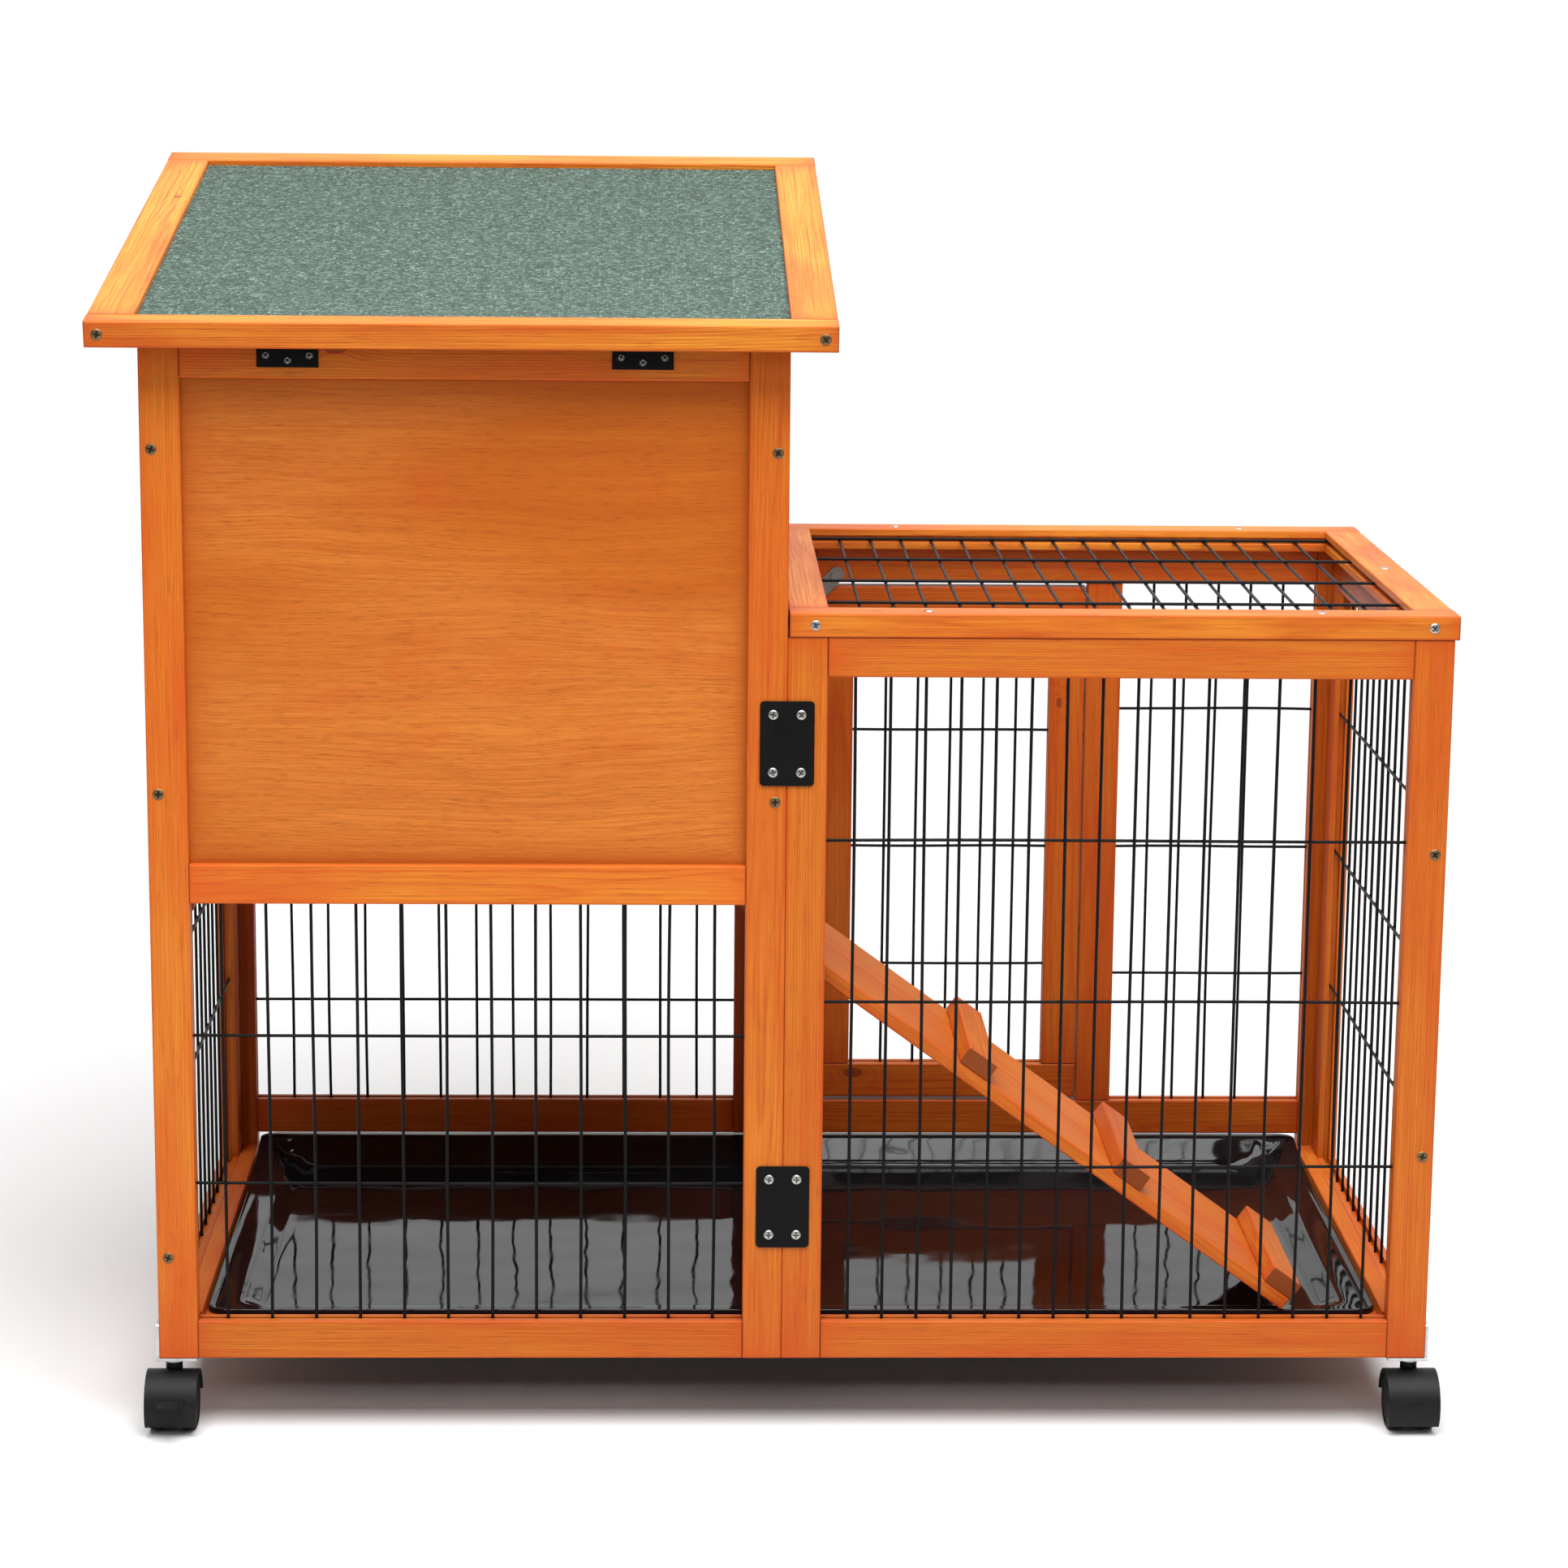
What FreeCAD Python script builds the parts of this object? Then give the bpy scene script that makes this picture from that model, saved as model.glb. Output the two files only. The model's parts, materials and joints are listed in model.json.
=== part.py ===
import FreeCAD, Part
import math
import os
from FreeCAD import Vector

# Two-part rabbit hutch on casters: a tall house on the left and a mesh run on the right.
# Axes while building: X from the left face of the house, Y from the near face, Z from the floor.
# place_on_origin() at the end moves everything so that the origin is under the middle of its box.

# ---- driving dimensions, millimetres ----
HOUSE_LENGTH = 445.0
RUN_LENGTH = 465.0
DEPTH = 450.0
CLEARANCE_UNDER = 54.0
RUN_HEIGHT = 525.0
NEAR_WALL_HEIGHT = 730.0
FAR_WALL_HEIGHT = 806.0
TRAY_GAP = 40.0

RAIL = 28.0
THICK = 16.0
EDGE = 1.4
PLY = 5.0
WIRE = 2.3
GROOVE_DEPTH = 5.0

ROOF_SIDE_OVERHANG = 31.5
ROOF_NEAR_OVERHANG = 33.0
ROOF_FAR_OVERHANG = 35.0
ROOF_THICK = 18.5
ROOF_STILE = 32.0
ROOF_NEAR_RAIL = 20.0
ROOF_FAR_RAIL = 27.0
ROOF_BOARD = (5.5, 11.4)
ROOF_FELT_TOP = 14.0
ROOF_GAP = 0.5
LID_THICK = 17.0

MID_RAIL_Z = CLEARANCE_UNDER + 334.0
FLOOR_Z = 393.0
CLEAT = 13.0
CLEAT_HEIGHT = 14.0
DOOR_GAP = 3.0
HINGE_GAP = 1.1
DOORWAY = (48.0, 178.0, 565.0)
DOORWAY_CORNER = 8.0
SILL_HEIGHT = 58.0
FAR_LEFT_POST = 35.0
MIDDLE_POST_X = 698.0
HOUSE_WIRES = 12
RUN_WIRES = 16
RUN_SIDE_WIRES = 13
DOOR_WIRES = 5
HOUSE_NEAR_PITCH = (21.0, 31.5)
RUN_NEAR_PITCH = (19.5, 24.75)
CROSSINGS = {
    "house_near": (182.0, 290.5),
    "house_far": (204.0, 303.0),
    "house_left": (229.0, 328.0),
    "run_near": (195.0, 316.0, 433.0),
    "run_far": (228.0, 334.0, 448.0),
    "run_right": (226.0, 338.0, 450.0),
    "run_door": (236.0, 334.0, 430.0),
}

PLATE_SIZE = (38.0, 60.0, 1.5)
PLATE_CORNER = 3.0
PLATE_SCREWS = (9.8, 20.5)
PLATE_HEIGHTS = (167.5, 504.0)

RAMP_SLOPE = 36.2
RAMP_PIVOT = (HOUSE_LENGTH + 7.0, 335.0)
RAMP_Y = 27.0
PLANK = (74.0, 10.0)
PLANK_SPACE = 1.5
RAMP_LENGTH = 438.0
RAMP_CLEAT = (24.5, 13.0)
RAMP_CLEAT_PITCH = 139.0
RAMP_CLEATS = 3

GUIDE_TOP = 84.0
NEAR_GUIDE_TOP = 77.0
TRAY_SIDE = 30.5
TRAY_RIM_TOP = 80.5
TRAY_FLANGE_TOP = 78.5
TRAY_WALL = 2.5
TRAY_FLOOR = 70.0
TRAY_LIP_TOP = 91.0
TRAY_FLANGES = (24.0, 17.0, 22.3)
TRAY_SLOPES = (13.5, 8.0, 5.7)
TRAY_LIP = 14.0

WHEEL_RADIUS = 20.0
WHEEL_WIDTH = 12.5
WEB = 9.0
TRAIL = 9.0
CASTER_INSET = (9.0, 14.0)
HOOD_RADIUS = 23.5
BRACKET = 2.0

# ---- derived sizes ----
LENGTH = HOUSE_LENGTH + RUN_LENGTH
BASE = CLEARANCE_UNDER
RUN_TOP = BASE + RUN_HEIGHT
NEAR_TOP = BASE + NEAR_WALL_HEIGHT
FAR_TOP = BASE + FAR_WALL_HEIGHT
SLOPE = (FAR_TOP - NEAR_TOP) / DEPTH
ROOF_ANGLE = math.degrees(math.atan(SLOPE))
RAISED_RAIL_Z = BASE + TRAY_GAP
INNER_Y = DEPTH - THICK
LID_TOP = RUN_TOP + LID_THICK
HINGE_Y = DEPTH + 2.6
KNUCKLE = 2.5

X_AXIS = Vector(1, 0, 0)
Y_AXIS = Vector(0, 1, 0)
Z_AXIS = Vector(0, 0, 1)

nodes = {}


def box(x0, x1, y0, y1, z0, z1):
    return Part.makeBox(x1 - x0, y1 - y0, z1 - z0, Vector(x0, y0, z0))


def rod(start, end, radius):
    run = Vector(*end) - Vector(*start)
    return Part.makeCylinder(radius, run.Length, Vector(*start), run)


def round_long_edges(shape, axis, radius=EDGE):
    """Round the edges that run along one axis, as on planed timber."""
    edges = []
    for edge in shape.Edges:
        ends = edge.Vertexes[1].Point - edge.Vertexes[0].Point
        if ends.Length > 1.0 and abs(ends.normalize().dot(axis)) > 0.99:
            edges.append(edge)
    return shape.makeFillet(radius, edges)


def member(x0, x1, y0, y1, z0, z1):
    """A planed timber member, rounded along its longest side."""
    sizes = {x1 - x0: X_AXIS, y1 - y0: Y_AXIS, z1 - z0: Z_AXIS}
    return round_long_edges(box(x0, x1, y0, y1, z0, z1), sizes[max(sizes)])


def cut_all(members, cutters):
    """Cut each groove or hole out of each member."""
    result = []
    for piece in members:
        for cutter in cutters:
            if piece.BoundBox.intersect(cutter.BoundBox):
                piece = piece.cut(cutter)
        result.extend(piece.Solids)
    return result


def spread(start, end, count):
    """Evenly spaced places between two edges, without the edges."""
    step = (end - start) / (count + 1)
    return [start + step * (i + 1) for i in range(count)]


# ---- meshes and grooves ----
MESH_IN = 6.0
GROOVE_PLAY = 0.1
MESH_SPACE = 2 * (WIRE + GROOVE_PLAY)
PANEL_IN = 6.5
WIRE_REACH = GROOVE_DEPTH - 0.5


def wall_mesh(x0, x1, z0, z1, front_y, uprights, crossings):
    """Upright wires with cross wires behind them, let into the frame by WIRE_REACH."""
    reach = WIRE_REACH
    r = WIRE / 2
    up_y = front_y + r
    cross_y = front_y + 3 * r
    wires = [rod((x, up_y, z0 - reach), (x, up_y, z1 + reach), r) for x in uprights]
    wires += [rod((x0 - reach, cross_y, z), (x1 + reach, cross_y, z), r) for z in crossings]
    return Part.makeCompound(wires)


def side_mesh(y0, y1, z0, z1, outer_x, inward, uprights, crossings):
    """The same kind of mesh in a side wall; inward is +1 or -1 along X."""
    reach = WIRE_REACH
    r = WIRE / 2
    up_x = outer_x + inward * r
    cross_x = outer_x + inward * 3 * r
    wires = [rod((up_x, y, z0 - reach), (up_x, y, z1 + reach), r) for y in uprights]
    wires += [rod((cross_x, y0 - reach, z), (cross_x, y1 + reach, z), r) for z in crossings]
    return Part.makeCompound(wires)


def wall_groove(x0, x1, z0, z1, y0, y1):
    d = GROOVE_DEPTH
    return box(x0 - d, x1 + d, y0, y1, z0 - d, z1 + d)


def side_groove(y0, y1, z0, z1, x0, x1):
    d = GROOVE_DEPTH
    return box(x0, x1, y0 - d, y1 + d, z0 - d, z1 + d)


def near_mesh_groove(x0, x1, z0, z1):
    y0 = MESH_IN - GROOVE_PLAY
    return wall_groove(x0, x1, z0, z1, y0, y0 + MESH_SPACE)


def far_mesh_groove(x0, x1, z0, z1):
    y0 = INNER_Y + MESH_IN - GROOVE_PLAY
    return wall_groove(x0, x1, z0, z1, y0, y0 + MESH_SPACE)


# ---- house ----
H_IN0 = RAIL
H_IN1 = HOUSE_LENGTH - RAIL
LOW_Z0 = BASE + RAIL
NEAR_RAIL_Z = NEAR_TOP - RAIL
FAR_FRAME_TOP = NEAR_TOP + SLOPE * INNER_Y
FAR_RAIL_Z = FAR_FRAME_TOP - RAIL


def house_near():
    top = NEAR_TOP
    frame = [
        member(0, RAIL, 0, THICK, BASE, top),
        member(H_IN1, HOUSE_LENGTH, 0, THICK, BASE, top),
        member(H_IN0, H_IN1, 0, THICK, NEAR_RAIL_Z, top),
        member(H_IN0, H_IN1, 0, THICK, MID_RAIL_Z, MID_RAIL_Z + RAIL),
        member(H_IN0, H_IN1, 0, THICK, BASE, LOW_Z0),
    ]
    panel_z = (MID_RAIL_Z + RAIL, NEAR_RAIL_Z)
    grooves = [
        wall_groove(H_IN0, H_IN1, *panel_z, PANEL_IN, PANEL_IN + PLY),
        near_mesh_groove(H_IN0, H_IN1, LOW_Z0, MID_RAIL_Z),
    ]
    nodes["house_near_frame"] = Part.makeCompound(cut_all(frame, grooves))
    nodes["house_near_panel"] = grooves[0]
    first, pitch = HOUSE_NEAR_PITCH
    uprights = [H_IN0 + first + pitch * i for i in range(HOUSE_WIRES)]
    nodes["house_near_mesh"] = wall_mesh(
        H_IN0, H_IN1, LOW_Z0, MID_RAIL_Z, MESH_IN, uprights, CROSSINGS["house_near"]
    )


def house_far():
    top = FAR_FRAME_TOP
    low = RAISED_RAIL_Z
    frame = [
        member(0, RAIL, INNER_Y, DEPTH, BASE, top),
        member(H_IN1, HOUSE_LENGTH, INNER_Y, DEPTH, low, top),
        member(H_IN0, H_IN1, INNER_Y, DEPTH, FAR_RAIL_Z, top),
        member(H_IN0, H_IN1, INNER_Y, DEPTH, MID_RAIL_Z, MID_RAIL_Z + RAIL),
        member(H_IN0, H_IN1, INNER_Y, DEPTH, low, low + RAIL),
    ]
    groove = far_mesh_groove(H_IN0, H_IN1, low + RAIL, MID_RAIL_Z)
    nodes["house_far_frame"] = Part.makeCompound(cut_all(frame, [groove]))
    uprights = spread(H_IN0, H_IN1, HOUSE_WIRES)
    bay = (H_IN0, H_IN1, low + RAIL, MID_RAIL_Z)
    nodes["house_far_mesh"] = wall_mesh(
        *bay, INNER_Y + MESH_IN, uprights, CROSSINGS["house_far"]
    )


def prism_along_x(outline, x0, x1):
    """A solid with a constant outline of (y, z) points between two places along X."""
    points = [Vector(x0, y, z) for y, z in outline]
    return Part.Face(Part.makePolygon(points + points[:1])).extrude(Vector(x1 - x0, 0, 0))


def roof_line(y):
    """The point of the house's sloping top at one distance from the near face."""
    return y, NEAR_TOP + SLOPE * y


def sloping_rail(x0, x1, y0, y1):
    """A rail whose top follows the roof."""
    top = [roof_line(y0), roof_line(y1)]
    bottom = [(y, z - RAIL) for y, z in top]
    return prism_along_x(bottom + top[::-1], x0, x1)


def sloping_stile(x0, x1, y0, y1, z0):
    """A stile whose top follows the roof."""
    outline = [(y0, z0), (y1, z0), roof_line(y1), roof_line(y0)]
    return round_long_edges(prism_along_x(outline, x0, x1), Z_AXIS)


def sloping_panel(x0, x1, y0, y1, z0):
    """A board whose top edge lies in the groove of a sloping rail."""
    d = GROOVE_DEPTH
    top = [(y, z + d - RAIL) for y, z in (roof_line(y0 - d), roof_line(y1 + d))]
    return prism_along_x([(y0 - d, z0 - d), (y1 + d, z0 - d)] + top[::-1], x0, x1)


SIDE_Y0 = THICK
SIDE_Y1 = INNER_Y
SIDE_IN0 = SIDE_Y0 + RAIL
SIDE_IN1 = SIDE_Y1 - RAIL


def house_left():
    mid_z = MID_RAIL_Z
    frame = [
        sloping_stile(0, THICK, SIDE_Y0, SIDE_IN0, BASE),
        sloping_stile(0, THICK, SIDE_IN1, SIDE_Y1, BASE),
        sloping_rail(0, THICK, SIDE_IN0, SIDE_IN1),
        member(0, THICK, SIDE_IN0, SIDE_IN1, mid_z, mid_z + RAIL),
        member(0, THICK, SIDE_IN0, SIDE_IN1, BASE, LOW_Z0),
    ]
    panel = sloping_panel(PANEL_IN, PANEL_IN + PLY, SIDE_IN0, SIDE_IN1, mid_z + RAIL)
    groove_x = MESH_IN - GROOVE_PLAY
    groove = side_groove(SIDE_IN0, SIDE_IN1, LOW_Z0, mid_z, groove_x, groove_x + MESH_SPACE)
    nodes["house_left_frame"] = Part.makeCompound(cut_all(frame, [panel, groove]))
    nodes["house_left_panel"] = panel
    uprights = spread(SIDE_IN0, SIDE_IN1, HOUSE_WIRES)
    nodes["house_left_mesh"] = side_mesh(
        SIDE_IN0, SIDE_IN1, LOW_Z0, mid_z, MESH_IN, 1, uprights, CROSSINGS["house_left"]
    )


def house_right():
    x0 = HOUSE_LENGTH - THICK
    x1 = HOUSE_LENGTH
    sill_z = MID_RAIL_Z - SILL_HEIGHT
    frame = [
        sloping_stile(x0, x1, SIDE_Y0, SIDE_IN0, RAISED_RAIL_Z),
        sloping_stile(x0, x1, SIDE_IN1, SIDE_Y1, RAISED_RAIL_Z),
        sloping_rail(x0, x1, SIDE_IN0, SIDE_IN1),
        member(x0, x1, SIDE_IN0, SIDE_IN1, sill_z, MID_RAIL_Z),
    ]
    panel = sloping_panel(x0 + PANEL_IN, x0 + PANEL_IN + PLY, SIDE_IN0, SIDE_IN1, MID_RAIL_Z)
    y0, y1, head = DOORWAY
    doorway = round_long_edges(box(x0, x1, y0, y1, 0, head), X_AXIS, DOORWAY_CORNER)
    nodes["house_right_frame"] = Part.makeCompound(cut_all(frame, [panel]))
    nodes["house_right_panel"] = panel.cut(doorway)


def house_floor():
    x0 = THICK
    x1 = HOUSE_LENGTH - THICK
    nodes["house_floor"] = box(x0, x1, SIDE_Y0, SIDE_Y1, FLOOR_Z, FLOOR_Z + PLY)
    cleats = [
        member(x0, x0 + CLEAT, SIDE_Y0, SIDE_Y1, FLOOR_Z - CLEAT_HEIGHT, FLOOR_Z),
        member(x1 - CLEAT, x1, SIDE_Y0, SIDE_Y1, FLOOR_Z - CLEAT_HEIGHT, FLOOR_Z),
    ]
    nodes["floor_cleats"] = Part.makeCompound(cleats)


# ---- run ----
R0 = HOUSE_LENGTH
R_IN0 = R0 + RAIL
R_IN1 = LENGTH - RAIL
RUN_RAIL_Z = RUN_TOP - RAIL


def run_near():
    frame = [
        member(R0, R_IN0, 0, THICK, BASE, RUN_TOP),
        member(R_IN1, LENGTH, 0, THICK, BASE, RUN_TOP),
        member(R_IN0, R_IN1, 0, THICK, RUN_RAIL_Z, RUN_TOP),
        member(R_IN0, R_IN1, 0, THICK, BASE, LOW_Z0),
    ]
    groove = near_mesh_groove(R_IN0, R_IN1, LOW_Z0, RUN_RAIL_Z)
    nodes["run_near_frame"] = Part.makeCompound(cut_all(frame, [groove]))
    first, pitch = RUN_NEAR_PITCH
    uprights = [R_IN0 + first + pitch * i for i in range(RUN_WIRES)]
    nodes["run_near_mesh"] = wall_mesh(
        R_IN0, R_IN1, LOW_Z0, RUN_RAIL_Z, MESH_IN, uprights, CROSSINGS["run_near"]
    )


def run_far():
    low = RAISED_RAIL_Z
    post_x = MIDDLE_POST_X
    first_x = R0 + FAR_LEFT_POST
    frame = [
        member(R0, first_x, INNER_Y, DEPTH, low, RUN_TOP),
        member(R_IN1, LENGTH, INNER_Y, DEPTH, BASE, RUN_TOP),
        member(first_x, R_IN1, INNER_Y, DEPTH, RUN_RAIL_Z, RUN_TOP),
        member(first_x, R_IN1, INNER_Y, DEPTH, low, low + RAIL),
        member(post_x, post_x + RAIL, INNER_Y, DEPTH, low + RAIL, RUN_RAIL_Z),
    ]
    bay = (post_x + RAIL, R_IN1, low + RAIL, RUN_RAIL_Z)
    nodes["run_far_frame"] = Part.makeCompound(cut_all(frame, [far_mesh_groove(*bay)]))
    uprights = spread(bay[0], bay[1], DOOR_WIRES)
    nodes["run_far_mesh"] = wall_mesh(*bay, INNER_Y + MESH_IN, uprights, CROSSINGS["run_far"])


def run_right():
    x0 = LENGTH - THICK
    frame = [
        member(x0, LENGTH, SIDE_Y0, SIDE_IN0, BASE, RUN_TOP),
        member(x0, LENGTH, SIDE_IN1, SIDE_Y1, BASE, RUN_TOP),
        member(x0, LENGTH, SIDE_IN0, SIDE_IN1, RUN_RAIL_Z, RUN_TOP),
        member(x0, LENGTH, SIDE_IN0, SIDE_IN1, BASE, LOW_Z0),
    ]
    groove_x = LENGTH - MESH_IN + GROOVE_PLAY - MESH_SPACE
    span = (SIDE_IN0, SIDE_IN1, LOW_Z0, RUN_RAIL_Z)
    groove = side_groove(*span, groove_x, groove_x + MESH_SPACE)
    nodes["run_right_frame"] = Part.makeCompound(cut_all(frame, [groove]))
    uprights = spread(SIDE_IN0, SIDE_IN1, RUN_SIDE_WIRES)
    nodes["run_right_mesh"] = side_mesh(
        *span, LENGTH - MESH_IN, -1, uprights, CROSSINGS["run_right"]
    )


LID_X0 = R0 + 1.0
LID_X1 = LENGTH + 3.0
LID_Y0 = -1.0
LID_Y1 = DEPTH + 1.0
LID_MESH_UP = 6.5
LID_LONG_WIRES = (93.0, 196.0, 304.0, 416.0)


def run_lid():
    x0, x1, y0, y1 = LID_X0, LID_X1, LID_Y0, LID_Y1
    z0, z1 = RUN_TOP, LID_TOP
    frame = [
        member(x0, x1, y0, y0 + RAIL, z0, z1),
        member(x0, x1, y1 - RAIL, y1, z0, z1),
        member(x0, x0 + RAIL, y0 + RAIL, y1 - RAIL, z0, z1),
        member(x1 - RAIL, x1, y0 + RAIL, y1 - RAIL, z0, z1),
    ]
    ix0, ix1 = x0 + RAIL, x1 - RAIL
    iy0, iy1 = y0 + RAIL, y1 - RAIL
    d = GROOVE_DEPTH
    mesh_z = z0 + LID_MESH_UP
    groove_z = mesh_z - GROOVE_PLAY
    groove = box(ix0 - d, ix1 + d, iy0 - d, iy1 + d, groove_z, groove_z + MESH_SPACE)
    nodes["lid_frame"] = Part.makeCompound(cut_all(frame, [groove]))
    reach = WIRE_REACH
    r = WIRE / 2
    cross_z = mesh_z + r
    long_z = mesh_z + 3 * r
    wires = [
        rod((x, iy0 - reach, cross_z), (x, iy1 + reach, cross_z), r)
        for x in spread(ix0, ix1, RUN_WIRES)
    ]
    wires += [
        rod((ix0 - reach, y, long_z), (ix1 + reach, y, long_z), r) for y in LID_LONG_WIRES
    ]
    nodes["lid_mesh"] = Part.makeCompound(wires)


# ---- plates, screws and small ironmongery ----
POST_SCREW_IN = 8.0
SCREW_HEIGHTS = {
    POST_SCREW_IN: (129.0, 466.0, 707.0),
    HOUSE_LENGTH - POST_SCREW_IN: (462.0, 707.0),
    LENGTH - POST_SCREW_IN: (205.0, 426.0),
}
LID_SCREW = 3.6
LID_FACE_SCREWS = (18.0, 8.5)
LID_TOP_SCREWS = (543.0, 818.0)
LID_TOP_SCREW_IN = 13.0
PLATE_SCREW_HEAD = (3.4, 0.9)


def screw_head(x, y, z, axis, radius=4.0, height=0.8):
    """A low screw head standing on a face."""
    return Part.makeCylinder(radius, height, Vector(x, y, z), axis)


def connector_plates():
    wide, tall, thin = PLATE_SIZE
    across, up = PLATE_SCREWS
    for side, face_y, out in (("near", 0.0, -1), ("far", DEPTH, 1)):
        plates = []
        for z in PLATE_HEIGHTS:
            y0 = min(face_y, face_y + out * thin)
            plate = box(R0 - wide / 2, R0 + wide / 2, y0, y0 + thin, z - tall / 2, z + tall / 2)
            plate = round_long_edges(plate, Y_AXIS, PLATE_CORNER)
            for x in (R0 - across, R0 + across):
                for head_z in (z - up, z + up):
                    spot = (x, face_y + out * thin, head_z)
                    plate = plate.fuse(screw_head(*spot, Vector(0, out, 0), *PLATE_SCREW_HEAD))
            plates.append(plate)
        nodes[side + "_connector_plates"] = Part.makeCompound(plates)


def frame_screws():
    heads = []
    for x, heights in SCREW_HEIGHTS.items():
        for z in heights:
            heads.append(screw_head(x, 0, z, Vector(0, -1, 0)))
            heads.append(screw_head(x, DEPTH, z, Vector(0, 1, 0)))
    end_in, up = LID_FACE_SCREWS
    for x in (LID_X0 + end_in, LID_X1 - end_in):
        heads.append(screw_head(x, LID_Y0, RUN_TOP + up, Vector(0, -1, 0), LID_SCREW))
    for x in LID_TOP_SCREWS:
        for y in (LID_TOP_SCREW_IN, DEPTH - LID_TOP_SCREW_IN):
            heads.append(screw_head(x, y, LID_TOP, Z_AXIS, LID_SCREW))
    heads.append(screw_head(LID_X1 - RAIL / 2, DEPTH / 2, LID_TOP, Z_AXIS, LID_SCREW))
    nodes["frame_screws"] = Part.makeCompound(heads)


TAB_SCREW = (495.0, 556.0)
TAB_WIDTH = 12.0
TAB_ENDS = (-24.0, 8.0)
TAB_THICK = 1.2
TAB_OFF_RAIL = 1.4
TAB_CORNER = 5.0
TAB_TURN = 43.0
TAB_BOSS = 4.0
TAB_HEAD = 3.4


def door_stop_tab():
    """A galvanised tab inside the top rail that stops the run door from swinging in."""
    x, z = TAB_SCREW
    y0 = INNER_Y - TAB_OFF_RAIL
    tab = box(-TAB_WIDTH / 2, TAB_WIDTH / 2, y0, y0 + TAB_THICK, *TAB_ENDS)
    tab = round_long_edges(tab, Y_AXIS, TAB_CORNER)
    tab.rotate(Vector(0, 0, 0), Y_AXIS, TAB_TURN)
    tab.translate(Vector(x, 0, z))
    boss = rod((x, y0, z), (x, INNER_Y, z), TAB_BOSS)
    head = rod((x, y0 - TAB_THICK, z), (x, y0, z), TAB_HEAD)
    nodes["door_stop_tab"] = tab.fuse(boss).fuse(head)


# ---- hinges: alternate knuckles on one pin ----
PIN = 1.0
PIN_BORE = 1.08
DOOR_HINGE_HALF = 24.0
LEAF_PLAY = 0.1
LEAF_IN = (14.0, 0.6)
LEAF_ROOT = 1.0


def knuckle_spans(start, end, count=3, space=0.3):
    step = (end - start) / count
    return [(start + i * step + space / 2, start + (i + 1) * step - space / 2) for i in range(count)]


def door_hinge(x_axis, fixed_side, z_mid):
    """Butt hinge in the gap at one side of a door; fixed_side is +1 or -1 along X."""
    z0, z1 = z_mid - DOOR_HINGE_HALF, z_mid + DOOR_HINGE_HALF
    leaf = HINGE_GAP / 2 - LEAF_PLAY
    spans = knuckle_spans(z0, z1)
    halves = []
    for side, own in ((fixed_side, (0, 2)), (-fixed_side, (1,))):
        x0 = x_axis + (LEAF_PLAY if side > 0 else -LEAF_PLAY - leaf)
        plate = box(x0, x0 + leaf, DEPTH - LEAF_IN[0], DEPTH - LEAF_IN[1], z0, z1)
        for i in own:
            a, b = spans[i]
            plate = plate.fuse(box(x0, x0 + leaf, DEPTH - LEAF_ROOT, HINGE_Y, a, b))
            plate = plate.fuse(rod((x_axis, HINGE_Y, a), (x_axis, HINGE_Y, b), KNUCKLE))
        halves.append(plate)
    fixed, moving = halves
    ends = (x_axis, HINGE_Y, z0), (x_axis, HINGE_Y, z1)
    fixed = fixed.fuse(rod(*ends, PIN))
    moving = moving.cut(rod(*ends, PIN_BORE))
    return fixed.removeSplitter(), moving.removeSplitter()


HOUSE_DOOR_AXIS_X = RAIL + HINGE_GAP / 2
RUN_DOOR_AXIS_X = MIDDLE_POST_X - HINGE_GAP / 2
HOUSE_DOOR_HINGES = (480.0, 765.0)
RUN_DOOR_HINGES = (241.0, 432.0)


def door_hinges():
    bases = []
    doors = (
        ("house_door", HOUSE_DOOR_AXIS_X, -1, HOUSE_DOOR_HINGES),
        ("run_door", RUN_DOOR_AXIS_X, 1, RUN_DOOR_HINGES),
    )
    for name, axis_x, fixed_side, heights in doors:
        pairs = [door_hinge(axis_x, fixed_side, z) for z in heights]
        bases += [pair[0] for pair in pairs]
        nodes[name + "_hinge_leaves"] = Part.makeCompound([pair[1] for pair in pairs])
    nodes["door_hinge_bases"] = Part.makeCompound(bases)


def door_frame(x0, x1, z0, z1):
    return [
        member(x0, x1, INNER_Y, DEPTH, z1 - RAIL, z1),
        member(x0, x1, INNER_Y, DEPTH, z0, z0 + RAIL),
        member(x0, x0 + RAIL, INNER_Y, DEPTH, z0 + RAIL, z1 - RAIL),
        member(x1 - RAIL, x1, INNER_Y, DEPTH, z0 + RAIL, z1 - RAIL),
    ]


def doors():
    x0, x1 = RAIL + HINGE_GAP, H_IN1 - DOOR_GAP
    z0, z1 = MID_RAIL_Z + RAIL + DOOR_GAP, FAR_RAIL_Z - DOOR_GAP
    inner = (x0 + RAIL, x1 - RAIL, z0 + RAIL, z1 - RAIL)
    panel = wall_groove(*inner, INNER_Y + PANEL_IN, INNER_Y + PANEL_IN + PLY)
    nodes["house_door_frame"] = Part.makeCompound(cut_all(door_frame(x0, x1, z0, z1), [panel]))
    nodes["house_door_panel"] = panel

    x0, x1 = R0 + FAR_LEFT_POST + DOOR_GAP, MIDDLE_POST_X - HINGE_GAP
    z0, z1 = RAISED_RAIL_Z + RAIL + DOOR_GAP, RUN_RAIL_Z - DOOR_GAP
    inner = (x0 + RAIL, x1 - RAIL, z0 + RAIL, z1 - RAIL)
    groove = far_mesh_groove(*inner)
    nodes["run_door_frame"] = Part.makeCompound(cut_all(door_frame(x0, x1, z0, z1), [groove]))
    uprights = spread(inner[0], inner[1], DOOR_WIRES)
    nodes["run_door_mesh"] = wall_mesh(
        *inner, INNER_Y + MESH_IN, uprights, CROSSINGS["run_door"]
    )


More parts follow.
